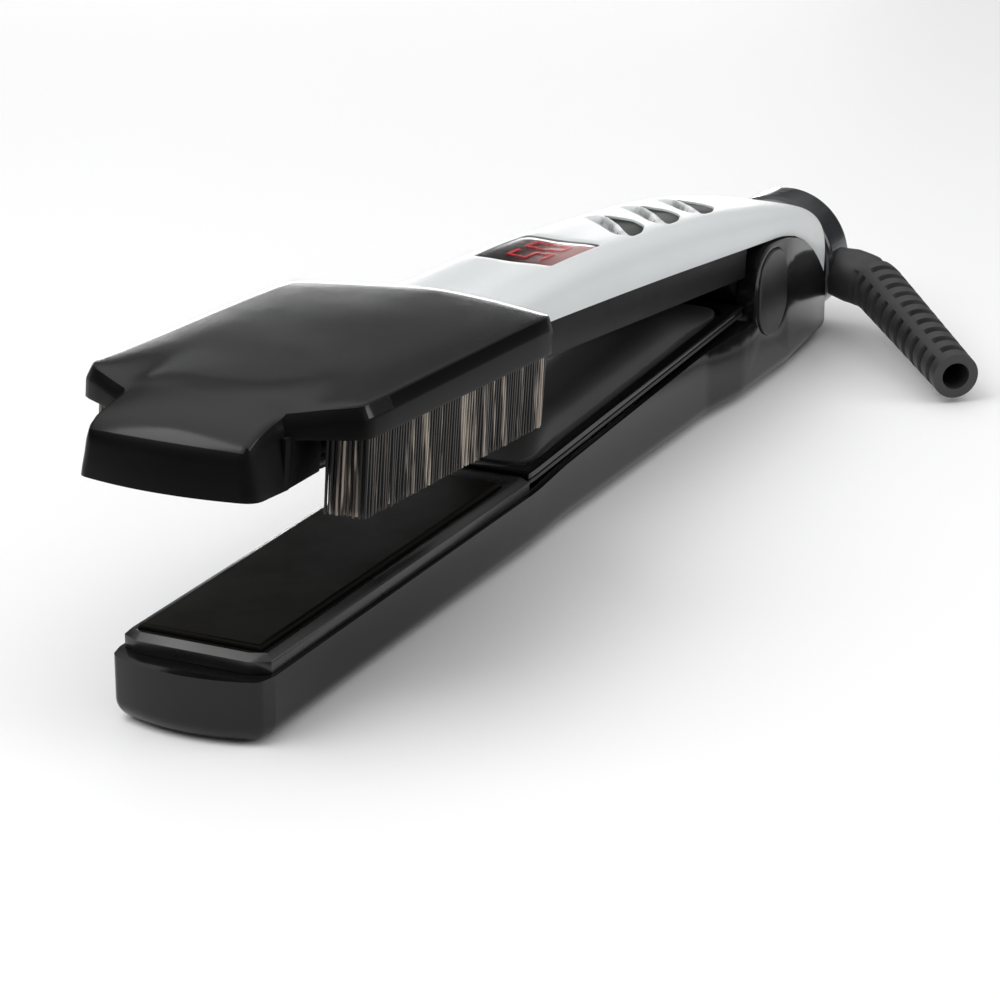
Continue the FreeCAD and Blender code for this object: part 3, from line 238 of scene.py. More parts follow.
def addRange(tree, low, high):
    # low becomes 0 and high becomes 1
    node = addNode(tree, "MapRange")
    setInputs(node, {"From Min": low, "From Max": high})
    return node


def fillRamp(ramp, stops):
    # a new ramp has two stops, and the others are added
    elements = ramp.color_ramp.elements
    for index, (level, colour) in enumerate(stops):
        stop = elements[index] if index < 2 else elements.new(level)
        stop.position = level
        stop.color = (*colour, 1)


def newMaterial(name):
    material = bpy.data.materials.new(name)
    material.use_nodes = True
    return material, material.node_tree, material.node_tree.nodes["Principled BSDF"]


def addPlace(tree):
    # where a point lies in its piece
    return addNode(tree, "TexCoord").outputs["Object"]


def buildMouldGrain():
    # the faint orange-peel of moulded plastic
    group, start, end = newGroup(
        "mouldGrain",
        [("Scale", "NodeSocketFloat", 900.0), ("Stretch", "NodeSocketVector", (1, 1, 1))],
        [("Height", "NodeSocketFloat")],
    )
    stretch = addNode(group, "VectorMath")
    stretch.operation = "MULTIPLY"
    fine = addNode(group, "TexNoise")
    fine.inputs["Detail"].default_value = 3
    link(group, addPlace(group), stretch.inputs[0])
    link(group, start.outputs["Stretch"], stretch.inputs[1])
    link(group, stretch.outputs[0], fine.inputs["Vector"])
    link(group, start.outputs["Scale"], fine.inputs["Scale"])
    link(group, fine.outputs["Fac"], end.inputs["Height"])
    return group


def buildHandling():
    # where hands and hair have dulled or polished the gloss
    group, start, end = newGroup(
        "handling",
        [
            ("Scale", "NodeSocketFloat", 30.0), ("Clean", "NodeSocketFloat", 0.1),
            ("Dull", "NodeSocketFloat", 0.3),
        ],
        [("Roughness", "NodeSocketFloat"), ("Mask", "NodeSocketFloat")],
    )
    patches = addNode(group, "TexNoise")
    setInputs(patches, {"Detail": 6, "Roughness": 0.62})
    spread = addRange(group, 0.42, 0.72)
    level = addNode(group, "MapRange")
    link(group, addPlace(group), patches.inputs["Vector"])
    link(group, start.outputs["Scale"], patches.inputs["Scale"])
    link(group, patches.outputs["Fac"], spread.inputs["Value"])
    link(group, spread.outputs["Result"], level.inputs["Value"])
    link(group, start.outputs["Clean"], level.inputs["To Min"])
    link(group, start.outputs["Dull"], level.inputs["To Max"])
    link(group, level.outputs["Result"], end.inputs["Roughness"])
    link(group, spread.outputs["Result"], end.inputs["Mask"])
    return group


mouldGrain = buildMouldGrain()
handling = buildHandling()


def useGroup(tree, group, values):
    node = addNode(tree, "Group")
    node.node_tree = group
    setInputs(node, values)
    return node


def plainFinish(name, look):
    # base colour with a second shade in patches, gloss that varies, and a fine bump
    material, tree, shader = newMaterial(name)
    patches = {"Scale": look.get("patch", 35.0), "Clean": look["gloss"], "Dull": look["dull"]}
    touched = useGroup(tree, handling, patches)
    mould = {"Scale": look.get("grain", 1200.0), "Stretch": look.get("stretch", (1, 1, 1))}
    grain = useGroup(tree, mouldGrain, mould)
    shades = addNode(tree, "Mix")
    shades.data_type = "RGBA"
    setInputs(shades, {"A": (*look["colour"], 1), "B": (*look.get("shade", look["colour"]), 1)})
    bump = addNode(tree, "Bump")
    setInputs(bump, {"Strength": look.get("bump", 0.1), "Distance": look.get("depth", 0.02) * mm})
    link(tree, touched.outputs["Mask"], shades.inputs["Factor"])
    link(tree, shades.outputs["Result"], shader.inputs["Base Color"])
    link(tree, touched.outputs["Roughness"], shader.inputs["Roughness"])
    link(tree, grain.outputs["Height"], bump.inputs["Height"])
    link(tree, bump.outputs["Normal"], shader.inputs["Normal"])
    setInputs(shader, {
        "Metallic": look.get("metal", 0.0), "Coat Weight": look.get("coat", 0.0),
        "Coat Roughness": 0.05, "Specular IOR Level": look.get("specular", 0.5),
    })
    return material


looks = {
    "hoodBlack": {
        "colour": (0.008, 0.008, 0.0085), "shade": (0.012, 0.012, 0.0125),
        "gloss": 0.17, "dull": 0.25, "patch": 22.0, "specular": 0.3,
    },
    # painted shade: a duller and darker copy of the hood's black, for its upright faces and the brush
    # frames under it
    "hoodSideShaded": {
        "colour": (0.0022, 0.0022, 0.0024), "shade": (0.0035, 0.0035, 0.0038),
        "gloss": 0.3, "dull": 0.42, "patch": 22.0, "specular": 0.06,
    },
    "armBlack": {
        "colour": (0.0055, 0.0055, 0.006), "shade": (0.0085, 0.0085, 0.009),
        "gloss": 0.1, "dull": 0.19, "patch": 26.0, "specular": 0.3,
    },
    # painted light: the grip panel's black is raised to a dark grey, as if lit inside the gap between
    # the arms
    "panelPaintedLight": {
        "colour": (0.045, 0.045, 0.046), "shade": (0.055, 0.055, 0.056),
        "gloss": 0.4, "dull": 0.5, "grain": 2600.0, "bump": 0.5, "depth": 0.03, "specular": 0.5,
    },
    # painted shade: the groove's floor is a darker black than the casing around it
    "grooveShadeBlack": {
        "colour": (0.002, 0.002, 0.002), "shade": (0.003, 0.003, 0.003),
        "gloss": 0.5, "dull": 0.6,
    },
    "stripBlack": {
        "colour": (0.004, 0.0035, 0.004), "shade": (0.006, 0.006, 0.006),
        "gloss": 0.42, "dull": 0.5, "specular": 0.08,
    },
    "coverPearl": {
        "colour": (0.67, 0.695, 0.695), "shade": (0.64, 0.665, 0.665),
        "gloss": 0.34, "dull": 0.42, "patch": 18.0, "specular": 0.35, "grain": 4000.0, "bump": 0.04,
    },
    "surroundSatin": {
        "colour": (0.009, 0.009, 0.0095), "shade": (0.015, 0.015, 0.0155),
        "gloss": 0.26, "dull": 0.4,
    },
    "ceramicCoating": {
        "colour": (0.003, 0.0028, 0.0018), "shade": (0.0055, 0.005, 0.0035),
        "gloss": 0.46, "dull": 0.58, "patch": 60.0, "grain": 5000.0, "bump": 0.2, "specular": 0.06,
    },
    "padRubber": {
        "colour": (0.009, 0.011, 0.009), "shade": (0.014, 0.016, 0.0135),
        "gloss": 0.5, "dull": 0.62, "grain": 2600.0, "bump": 0.3, "specular": 0.12,
    },
    "capSatin": {
        "colour": (0.009, 0.009, 0.0095), "shade": (0.014, 0.014, 0.0145),
        "gloss": 0.3, "dull": 0.4,
    },
    "ringGloss": {
        "colour": (0.01, 0.012, 0.015), "shade": (0.016, 0.019, 0.023),
        "gloss": 0.2, "dull": 0.3, "coat": 0.3,
    },
    "sleeveRubber": {
        "colour": (0.022, 0.022, 0.023), "shade": (0.038, 0.038, 0.038),
        "gloss": 0.45, "dull": 0.62, "grain": 1800.0, "bump": 0.35,
    },
    "steelPlain": {
        "colour": (0.46, 0.46, 0.47), "shade": (0.36, 0.36, 0.37),
        "gloss": 0.25, "dull": 0.4, "metal": 1.0, "stretch": (1, 12, 1),
    },
    "insulatorTan": {
        "colour": (0.17, 0.145, 0.115), "shade": (0.13, 0.11, 0.09),
        "gloss": 0.6, "dull": 0.75, "grain": 1500.0, "bump": 0.4,
    },
    "heaterCase": {
        "colour": (0.55, 0.55, 0.53), "shade": (0.4, 0.4, 0.38),
        "gloss": 0.35, "dull": 0.5, "metal": 1.0,
    },
    "beadAmber": {
        "colour": (0.5, 0.2, 0.04), "shade": (0.4, 0.15, 0.03),
        "gloss": 0.1, "dull": 0.2, "coat": 1.0,
    },
    "boardGreen": {
        "colour": (0.012, 0.11, 0.045), "shade": (0.02, 0.15, 0.065),
        "gloss": 0.3, "dull": 0.4, "patch": 220.0,
    },
    "darkMoulding": {
        "colour": (0.014, 0.014, 0.015), "shade": (0.02, 0.02, 0.021),
        "gloss": 0.4, "dull": 0.55,
    },
}
finish = {name: plainFinish(name, look) for name, look in looks.items()}


# painted shade in the scoops: how far the occlusion reaches, its open and closed levels, and the grey
# painted in
hollowShade = {"reach": 5.0, "open": 0.97, "closed": 0.6, "colour": (0.16, 0.165, 0.165)}


def shadeHollows(material):
    # painted shade: the cover's white turns grey where ambient occlusion finds the scoops' hollows
    tree = material.node_tree
    shader = tree.nodes["Principled BSDF"]
    plain = shader.inputs["Base Color"].links[0].from_socket
    hollow = addNode(tree, "AmbientOcclusion")
    hollow.only_local = True
    hollow.inputs["Distance"].default_value = hollowShade["reach"] * mm
    depth = addRange(tree, hollowShade["open"], hollowShade["closed"])
    darker = addNode(tree, "Mix")
    darker.data_type = "RGBA"
    darker.inputs["B"].default_value = (*hollowShade["colour"], 1)
    link(tree, hollow.outputs["AO"], depth.inputs["Value"])
    link(tree, depth.outputs["Result"], darker.inputs["Factor"])
    link(tree, plain, darker.inputs["A"])
    link(tree, darker.outputs["Result"], shader.inputs["Base Color"])


shadeHollows(finish["coverPearl"])
print("finishes ready,", len(finish))

finishOfSlot = {
    "casing_black": "armBlack", "cover_white": "coverPearl", "button_dark": "padRubber",
    "brush_black": "hoodBlack", "plate_coating": "ceramicCoating", "surround_grey": "surroundSatin",
    "insulator": "insulatorTan", "heater_metal": "heaterCase", "spring_steel": "steelPlain",
    "pin_steel": "steelPlain", "sensor_glass": "beadAmber", "fuse_metal": "heaterCase",
    "board_green": "boardGreen", "display_body": "darkMoulding", "switch_body": "darkMoulding",
    "cap_dark": "capSatin", "ring_dark": "ringGloss", "sleeve_rubber": "sleeveRubber",
    "smoked_window": "stripBlack", "bristle_nylon": "darkMoulding",
}
for nodeName, node in frame["nodes"].items():
    node.data.materials.clear()
    node.data.materials.append(finish[finishOfSlot[slotOf[nodeName]]])


postCorner = {
    "side": 15.7, "height": 0.9, "reach": 0.06, "flushSide": 15.23, "flushHeight": 0.99,
}


def flattenPosts(piece):
    # the inner posts' corners would show as specks in the casing's rounded lower edge
    for vert in piece.data.vertices:
        aside = abs(abs(vert.co.y) / mm - postCorner["side"])
        above = abs(vert.co.z / mm - postCorner["height"])
        if max(aside, above) < postCorner["reach"]:
            vert.co.y = math.copysign(postCorner["flushSide"] * mm, vert.co.y)
            vert.co.z = postCorner["flushHeight"] * mm


def softened(nodeName, pieceName, width, segments, look):
    piece = copyOf(frame["nodes"][nodeName], pieceName)
    makeActive(piece)
    bpy.ops.mesh.customdata_custom_splitnormals_clear()
    if nodeName == "lower_casing":
        flattenPosts(piece)
    editAll(piece)
    bpy.ops.mesh.remove_doubles(threshold=mergeGap["fromCad"])
    bpy.ops.mesh.dissolve_limited(angle_limit=math.radians(0.4))
    objectMode()
    addBevel(piece, width, segments, 50)
    smoothShade(piece, 40)
    rides(piece, bodyOf[nodeName], finish[look])
    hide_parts(nodeName)


softening = {
    # piece, bevel width, bevel segments, finish
    "lower_casing": ("lowerCasing", 0.5, 3, "armBlack"),
    "upper_casing": ("upperCasing", 0.4, 2, "stripBlack"),
    "lower_surround": ("lowerSurround", 0.35, 2, "surroundSatin"),
    "upper_surround": ("upperSurround", 0.35, 2, "surroundSatin"),
    "hinge_caps": ("hingeCaps", 0.3, 2, "capSatin"),
    "swivel_ring": ("swivelRing", 0.5, 3, "ringGloss"),
    # the brush frames under the hood take its darker black, painted shade
    "brush_frame_right": ("brushFrameRight", 0.25, 2, "hoodSideShaded"),
    "brush_frame_left": ("brushFrameLeft", 0.25, 2, "hoodSideShaded"),
}
for nodeName, (pieceName, width, segments, look) in softening.items():
    softened(nodeName, pieceName, width, segments, look)
print("casings softened")


hood = {
    # station, half width on top, half width at the foot, foot, top edge, ridge
    "nose": [
        (-249.7, 15.2, 16.4, -3.5, 2.6, 2.9), (-249.5, 15.6, 17.2, -3.5, 4.2, 4.6),
        (-249.0, 15.9, 17.9, -3.5, 5.4, 5.9), (-248.1, 16.0, 18.35, -3.5, 6.5, 7.2),
        (-246.7, 16.0, 18.5, -3.5, 7.5, 8.4), (-244.8, 15.9, 18.5, -3.4, 8.4, 9.6),
        (-242.6, 15.8, 18.5, -3.3, 9.2, 10.7), (-240.0, 15.8, 18.5, -3.2, 10.0, 11.6),
        (-237.4, 15.9, 18.5, -3.1, 10.7, 12.4),
    ],
    "wings": [
        (-236.6, 16.6, 18.9, 5.9, 10.9, 12.6), (-235.2, 19.2, 21.2, 6.0, 11.3, 12.8),
        (-233.4, 22.6, 24.5, 6.1, 11.9, 13.1), (-231.6, 25.9, 27.6, 6.2, 12.3, 13.3),
        (-230.3, 27.6, 29.2, 6.3, 12.5, 13.5), (-229.0, 28.4, 29.9, 6.35, 12.65, 13.6),
        (-227.0, 28.7, 30.2, 6.4, 12.8, 13.8), (-220.0, 28.8, 30.2, 6.8, 13.2, 14.2),
        (-210.0, 28.8, 30.2, 7.3, 13.9, 14.9), (-200.0, 28.8, 30.2, 7.8, 14.6, 15.6),
        (-190.0, 28.8, 30.2, 8.3, 15.3, 16.3), (-180.0, 28.8, 30.2, 8.8, 16.0, 17.0),
        (-170.0, 28.8, 30.2, 9.3, 16.7, 17.7), (-160.0, 28.8, 30.2, 9.8, 17.3, 18.3),
        (-154.0, 28.8, 30.2, 10.1, 17.6, 18.7), (-151.6, 28.5, 29.9, 10.2, 17.6, 18.8),
        (-150.2, 27.7, 29.1, 10.25, 17.4, 18.8), (-149.2, 26.5, 27.9, 10.3, 17.2, 18.7),
    ],
    "across": [1, 0.955, 0.9, 0.83, 0.75, 0.67, 0.605, 0.585, 0.5, 0.4, 0.3, 0.2, 0.1, 0],
    # the nose bulges forward and the rear edge backward
    "noseBow": 3.3, "noseBowFrom": -237.0, "noseBowRun": 10.0, "noseHalf": 18.7,
    "rearBow": 4.2, "rearBowFrom": -165.0, "rearBowRun": 15.0, "wingHalf": 30.2,
    # the nose's side: how far it draws in, at which shares of its height, and its turn to the top
    "noseTuck": 0.25, "tuckAt": 0.2, "waist": 0.8, "waistAt": 0.5,
    "noseTurn": [(0.3, 0.78), (0.64, 0.93)],
    # the wings' side: a lip, a step under the band and a rounded edge
    "lip": 0.6, "bandDrop": 2.5, "bandLip": 0.45, "bandStep": 0.15, "edgeOut": 0.3, "edgeDrop": 0.35,
    # the top's crown, and the valley where the wings leave the nose
    "leanFront": 1.0, "leanRear": 0.0, "leanShare": 0.34, "blend": 4.5,
    "crownFront": 2.2, "crownRear": 1.45,
    "valleyDepth": 1.2, "valleyAt": -232.0, "valleyLength": 8.0, "valleySide": 18.5, "valleyWidth": 4.5,
    # the front wall, and the rear rim around the arm's arch
    "frontHeight": 3.5, "rimBack": 0.5, "rimDrop": 0.7, "rimAbove": 10.4, "rimShare": 0.985,
    "wallBack": 0.7, "wallFoot": 10.3, "archHalf": 16.95, "archDrop": 1.6,
    "thickness": 1.2, "bevel": 0.3, "sideSlope": 0.42,
}
skirt = {
    "front": -239.0, "rear": -225.6, "inner": 17.3, "outer": 18.45,
    "low": -3.3, "lowRear": -1.9, "high": 6.6, "bevel": 0.3,
}


def hoodBow(station, y):
    ahead, behind = hood["noseBowFrom"] - station, station - hood["rearBowFrom"]
    if ahead > 0:
        return -hood["noseBow"] * (1 - (y / hood["noseHalf"]) ** 2) * min(1, ahead / hood["noseBowRun"])
    if behind > 0:
        swell = min(1, (behind / hood["rearBowRun"]) ** 2)
        return hood["rearBow"] * (1 - (y / hood["wingHalf"]) ** 2) * swell
    return 0


def hoodRow(ring, isWing):
    station, topHalf, footHalf, foot, edge, ridge = ring
    if isWing:
        band = edge - hood["bandDrop"]
        side = [
            (footHalf, foot), (footHalf, foot + hood["lip"]), (footHalf, band - hood["bandLip"]),
            (footHalf - hood["bandStep"], band), (topHalf + hood["edgeOut"], edge - hood["edgeDrop"]),
        ]
    else:
        lift = edge - foot
        waist = footHalf - hood["waist"]
        side = [
            (footHalf, foot), (footHalf - hood["noseTuck"], foot + lift * hood["tuckAt"]),
            (waist, foot + lift * hood["waistAt"]),
        ]
        for out, up in hood["noseTurn"]:
            side.append((waist + (topHalf - waist) * out, foot + lift * up))
    top = []
    shares = [-share for share in hood["across"]] + hood["across"][-2::-1]
    along = (station - hood["nose"][-1][0]) / (hood["wings"][-1][0] - hood["nose"][-1][0])
    lean = hood["leanFront"] + (hood["leanRear"] - hood["leanFront"]) * along
    crown = hood["crownFront"] + (hood["crownRear"] - hood["crownFront"]) * along
    winged = ease(along * hood["blend"]) if isWing else 0
    for share in shares:
        y = topHalf * share
        out = 1 - abs(share)
        arched = edge + (ridge - edge) * (1 - share * share)
        leaning = edge + lean * math.sin(math.pi / 2 * min(1, out / hood["leanShare"]))
        leaning += (ridge - edge - lean) * (1 - abs(share) ** crown)
        z = arched + (leaning - arched) * winged
        back = (station - hood["valleyAt"]) / hood["valleyLength"]
        aside = (abs(y) - hood["valleySide"]) / hood["valleyWidth"]
        z -= hood["valleyDepth"] * math.exp(-back * back - aside * aside)
        top.append((y, z))
    points = [(-y, z) for y, z in side] + top + [(y, z) for y, z in reversed(side)]
    return [(station + hoodBow(station, y), y, z) for y, z in points]


def buildSkirt(side):
    # the nose's side wall runs on under the wing's front, and climbs a little towards the bristles
    clearSelection()
    bpy.ops.mesh.primitive_cube_add(size=1, location=(0, 0, 0))
    wall = bpy.context.object
    for vert in wall.data.vertices:
        low = skirt["low"] if vert.co.x < 0 else skirt["lowRear"]
        vert.co = (
            (skirt["front"] if vert.co.x < 0 else skirt["rear"]) * mm,
            side * (skirt["inner"] if vert.co.y < 0 else skirt["outer"]) * mm,
            (low if vert.co.z < 0 else skirt["high"]) * mm,
        )
    outwards(wall)
    addBevel(wall, skirt["bevel"], 2, 50)
    return wall


def buildHood():
    noseRows = [hoodRow(ring, False) for ring in hood["nose"]]
    wingRows = [hoodRow(ring, True) for ring in hood["wings"]]
    foot = hood["nose"][0][3]
    frontWall = [
        [(x, y, foot) for x, y, z in noseRows[0]],
        [(x, y, min(z, foot + hood["frontHeight"])) for x, y, z in noseRows[0]],
    ]
    rimRow, wallRow = [], []
    for x, y, z in wingRows[-1]:
        inward = y * hood["rimShare"]
        drop = min(hood["rimDrop"], max(0, z - hood["rimAbove"]))
        rimRow.append((x + hood["rimBack"], inward, z - drop))
        low = hood["wallFoot"] if abs(y) > hood["archHalf"] else z - hood["archDrop"]
        wallRow.append((x + hood["wallBack"], inward, min(z, low)))
    shell = sheetFromRows("brushHood", frontWall + noseRows + wingRows + [rimRow, wallRow])
    outwards(shell)
    addWall(shell, hood["thickness"])
    addBevel(shell, hood["bevel"])
    makeActive(shell, buildSkirt(-1), buildSkirt(1))
    bpy.ops.object.join()
    smoothShade(shell, 42)
    rides(shell, "brush_head", finish["hoodBlack"])
    # the upright faces keep a duller black than the polished top, and painted shade makes its colour
    # darker too
    shell.data.materials.append(finish["hoodSideShaded"])
    for face in shell.data.polygons:
        if abs(face.normal.z) < hood["sideSlope"]:
            face.material_index = 1
    swingOpen(shell)
    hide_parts("brush_shell")


buildHood()
print("hood done")


cover = {
    # station, half width, ridge height
    "rings": [
        (-243.0, 15.4, 5.2), (-234.0, 16.4, 8.6), (-215.0, 16.5, 11.6), (-185.0, 16.5, 14.2),
        (-145.0, 16.4, 16.8), (-100.0, 15.8, 20.5), (-60.0, 15.7, 21.6), (-25.0, 16.2, 21.4),
        (5.0, 16.5, 19.7), (25.0, 16.0, 17.4), (41.0, 15.2, 14.8),
    ],
    # the edge along the black strip, then over the casing's arch
    "seam": [
        (-243.2, 3.0), (-230.0, 4.6), (-190.0, 7.6), (-150.0, 9.8), (-120.0, 10.6),
        (3.0, 12.4), (7.0, 12.4), (15.5, 11.46), (23.4, 9.36), (29.6, 6.76),
        (35.1, 3.66), (39.75, 0.35), (43.5, -2.9),
    ],
    "power": 3.6, "points": 84, "sidePower": 1.5, "sideShare": 0.6, "evenShare": 0.4,
    "coarse": 4.0, "fine": 0.6, "fineFrom": -74.0, "fineTo": 4.0,
    "dishDepth": 0.45, "dishHalf": 11.0, "dishFront": -160.0, "dishRear": 20.0, "dishRun": 30,
    "thickness": 1.8, "fold": 0.1, "bevel": 0.25, "insetBevel": 0.3, "cutLow": 10, "cutHigh": 40,
}
window = {
    "front": -109.0, "length": 26.0, "width": 18.0, "corner": 1.2, "gap": 0.12,
    "sink": 0.15, "thickness": 1.6,
}
pads = {
    "first": -57.0, "pitch": 20.5, "gap": 0.15, "sink": 0.45, "thickness": 1.8, "corner": 2.2,
    "cutLow": 14,
    "outline": [
        (8.5, 6.5), (9.5, -0.5), (2.0, -7.0), (-5.5, -9.6),
        (-12.0, -9.8), (-8.0, -6.5), (-0.7, -2.0), (5.0, 2.6),
    ],
}
scoop = {
    # the hollow in front of each pad, behind a thin ridge along the pad's bay side
    "line": [(8.5, 6.5), (5.0, 2.6), (-0.7, -2.0), (-8.0, -6.5), (-12.0, -9.8)],
    "ridge": 0.95, "raise": 0.3, "depth": 1.45, "bank": 0.5,
    "wide": 7.0, "narrow": 2.2, "taper": 1.3, "lowEnd": 0.16, "highEnd": 0.22,
    # how far from a pad's middle, and between which stations, the cover is shaped
    "reachAlong": 20, "reachAcross": 15, "from": -80, "to": 6,
}


def scoopDepth(x, y):
    # how far the cover sinks or rises near a pad
    change = 0
    for number in range(3):
        middle = pads["first"] + pads["pitch"] * number
        px, py = x - middle, y
        if abs(px) > scoop["reachAlong"] or abs(py) > scoop["reachAcross"]:
            continue
        line = scoop["line"]
        total = sum(math.dist(a, b) for a, b in zip(line, line[1:]))
        best, share, side, run = math.inf, 0, 0, 0
        for a, b in zip(line, line[1:]):
            length = math.dist(a, b)
            ux, uy = (b[0] - a[0]) / length, (b[1] - a[1]) / length
            along = (px - a[0]) * ux + (py - a[1]) * uy
            held = min(max(along, 0), length)
            gap = math.hypot(px - a[0] - ux * held, py - a[1] - uy * held)
            if gap < best:
                best, share = gap, (run + held) / total
                side = ux * (py - a[1]) - uy * (px - a[0])
            run += length
        if side > 0:
            continue
        reach = scoop["narrow"] + (scoop["wide"] - scoop["narrow"]) * (1 - share) ** scoop["taper"]
        ends = ease(share / scoop["lowEnd"]) * ease((1 - share) / scoop["highEnd"])
        if best < scoop["ridge"]:
            change += scoop["raise"] * math.sin(math.pi * best / scoop["ridge"]) * ends
        else:
            fade = 1 - ease((best - scoop["ridge"]) / reach)
            drop = ease((best - scoop["ridge"]) / scoop["bank"])
            change -= scoop["depth"] * fade * drop * ends
    return change


def coverRow(station, drop=0.0, plain=False):
    half = between(cover["rings"], station, 1) - drop
    seam = straight(cover["seam"], station)
    ridge = between(cover["rings"], station, 2) - drop
    row = []
    for step in range(cover["points"] + 1):
        # the first and last steps climb the sides, the others cross the top evenly
        share = step / cover["points"]
        angle = math.pi * (1 - share)
        lean = math.cos(angle)
        lean = math.copysign(abs(lean) ** cover["sidePower"], lean)
        across = lean * cover["sideShare"] + math.cos(angle) * cover["evenShare"]
        up = max(1 - abs(across) ** cover["power"], 0) ** (1 / cover["power"])
        y, z = half * across, seam + (ridge - seam) * up
        dish = (
            ease(1 - abs(y) / cover["dishHalf"])
            * ease((station - cover["dishFront"]) / cover["dishRun"])
            * ease((cover["dishRear"] - station) / cover["dishRun"])
        )
        z -= cover["dishDepth"] * dish
        if not plain and abs(y) < scoop["reachAcross"] and scoop["from"] < station < scoop["to"]:
            z += scoopDepth(station, y)
        row.append((station, y, z))
    return row


def coverStations():
    first, last = cover["rings"][0][0], cover["rings"][-1][0]
    marks = [first]
    while marks[-1] < last - 0.01:
        fine = cover["fineFrom"] <= marks[-1] < cover["fineTo"]
        step = cover["fine"] if fine else cover["coarse"]
        marks.append(min(marks[-1] + step, last))
    return marks


def coverTube(name, drop, thickness, plain):
    # the outer and the inner skin in one closed sheet, folded shut at both ends
    rows = []
    for station in coverStations():
        outer = coverRow(station, drop, plain)
        inner = coverRow(station, drop + thickness, True)
        rows.append(outer + inner[::-1] + outer[:1])
    for end in (0, -1):
        ring = rows[end]
        count = cover["points"] + 1
        fold = []
        for index in range(count):
            pair = (ring[index], ring[2 * count - 1 - index])
            x, y, z = ((a + b) / 2 for a, b in zip(*pair))
            fold.append((x + (cover["fold"] if end else -cover["fold"]), y, z))
        rows.insert(0 if end == 0 else len(rows), fold + fold[::-1] + fold[:1])
    tube = sheetFromRows(name, rows)
    outwards(tube)
    return tube


def roundedOutline(corners, radius, steps=5):
    # each corner of a drawn outline becomes a short arc
    points = []
    count = len(corners)
    for index, corner in enumerate(corners):
        before = corners[index - 1]
        after = corners[(index + 1) % count]
        starts = []
        for other in (before, after):
            dx, dy = other[0] - corner[0], other[1] - corner[1]
            length = math.hypot(dx, dy)
            reach = min(radius, length * 0.45)
            starts.append((corner[0] + dx / length * reach, corner[1] + dy / length * reach))
        for step in range(steps + 1):
            share = step / steps
            a, b = (1 - share) ** 2, share ** 2
            middle = 2 * share * (1 - share)
            points.append((
                a * starts[0][0] + middle * corner[0] + b * starts[1][0],
                a * starts[0][1] + middle * corner[1] + b * starts[1][1],
            ))
    return points


def grown(points, margin):
    # an outline moved outwards by a margin, corner by corner
    result = []
    count = len(points)
    area = sum(points[i - 1][0] * points[i][1] - points[i][0] * points[i - 1][1] for i in range(count))
    turn = 1 if area > 0 else -1
    for index in range(count):
        (x0, y0), (x1, y1), (x2, y2) = points[index - 1], points[index], points[(index + 1) % count]
        dx, dy = x2 - x0, y2 - y0
        length = math.hypot(dx, dy) or 1
        result.append((x1 + turn * dy / length * margin, y1 - turn * dx / length * margin))
    return result


def windowOutline(margin):
    front, rear = window["front"] - margin, window["front"] + window["length"] + margin
    half = window["width"] / 2 + margin
    corners = [(front, -half), (rear, -half), (rear, half), (front, half)]
    return roundedOutline(corners, window["corner"] + margin)


def padOutline(number, margin):
    middle = pads["first"] + pads["pitch"] * number
    corners = [(middle + x, y) for x, y in pads["outline"]]
    return grown(roundedOutline(corners, pads["corner"], 4), margin)


def coverHeight(x, y, drop):
    row = coverRow(x, drop, True)
    for (_, y0, z0), (_, y1, z1) in zip(row, row[1:]):
        if y0 <= y <= y1:
            return z0 + (z1 - z0) * (y - y0) / max(y1 - y0, 1e-6)
    return row[len(row) // 2][2]


digit = {
    "width": 6.2, "height": 9.6, "stroke": 1.05, "slant": 0.12, "gap": 0.14,
    "front": -104.6, "low": -5.4, "pitch": 9.2, "lift": 0.05, "proud": 0.1,
    # the lit bars of each figure: top, top right, low right, bottom, low left, top left, middle
    "lit": ["1011011", "1111110"],
}


def buildDigits():
    # two plain figures of up to seven bars, whose tops face the left side
    w, h, t, gap = digit["width"], digit["height"], digit["stroke"], digit["gap"]
    bars = [
        (0, h - t, w, h), (w - t, h / 2, w, h), (w - t, 0, w, h / 2), (0, 0, w, t),
        (0, 0, t, h / 2), (0, h / 2, t, h), (0, h / 2 - t / 2, w, h / 2 + t / 2),
    ]
    boxes = []
    for number, lit in enumerate(digit["lit"]):
        for bar, on in zip(bars, lit):
            if on == "0":
                continue
            x0, y0, x1, y1 = bar[0] + gap, bar[1] + gap, bar[2] - gap, bar[3] - gap
            points = []
            for x, y in ((x0, y0), (x1, y0), (x1, y1), (x0, y1)):
                px = digit["front"] + number * digit["pitch"] + x + y * digit["slant"]
                points.append((px, digit["low"] + y))
            piece = leafOutline("bar", points, 0, digit["proud"])
            for vert in piece.data.vertices:
                px, py = vert.co.x / mm, vert.co.y / mm
                vert.co.z += (coverHeight(px, py, window["sink"]) + digit["lift"]) * mm
            boxes.append(piece)
    makeActive(boxes[0], *boxes[1:])
    bpy.ops.object.join()
    figures = bpy.context.object
    figures.name = "displayFigures"
    swingOpen(figures)
    rides(figures, "upper_arm", litFinish())


litBars = {
    "look": {"colour": (0.42, 0.012, 0.02), "shade": (0.3, 0.01, 0.015), "gloss": 0.15, "dull": 0.25},
    "glow": (0.55, 0.02, 0.035), "strength": 0.15,
}
glass = {
    "look": {"colour": (0.012, 0.006, 0.005), "gloss": 0.16, "dull": 0.24, "specular": 0.15},
    # the pattern's shift, its slant, and where the painted pink reflection and the band start and end,
    # in metres
    "shift": (0.0931, -0.001, 0), "across": -2.6, "pinkReflection": (-0.018, 0.028), "band": (0.0122, 0.0108),
    # place between left and right, and colour
    "stops": [
        (0.0, (0.010, 0.006, 0.005)), (1.0, (0.40, 0.22, 0.21)), (0.45, (0.11, 0.028, 0.028)),
    ],
}


def litFinish():
    # dark red bars with a weak glow
    material = plainFinish("litRed", litBars["look"])
    shader = material.node_tree.nodes["Principled BSDF"]
    setInputs(shader, {
        "Emission Color": (*litBars["glow"], 1), "Emission Strength": litBars["strength"],
    })
    return material


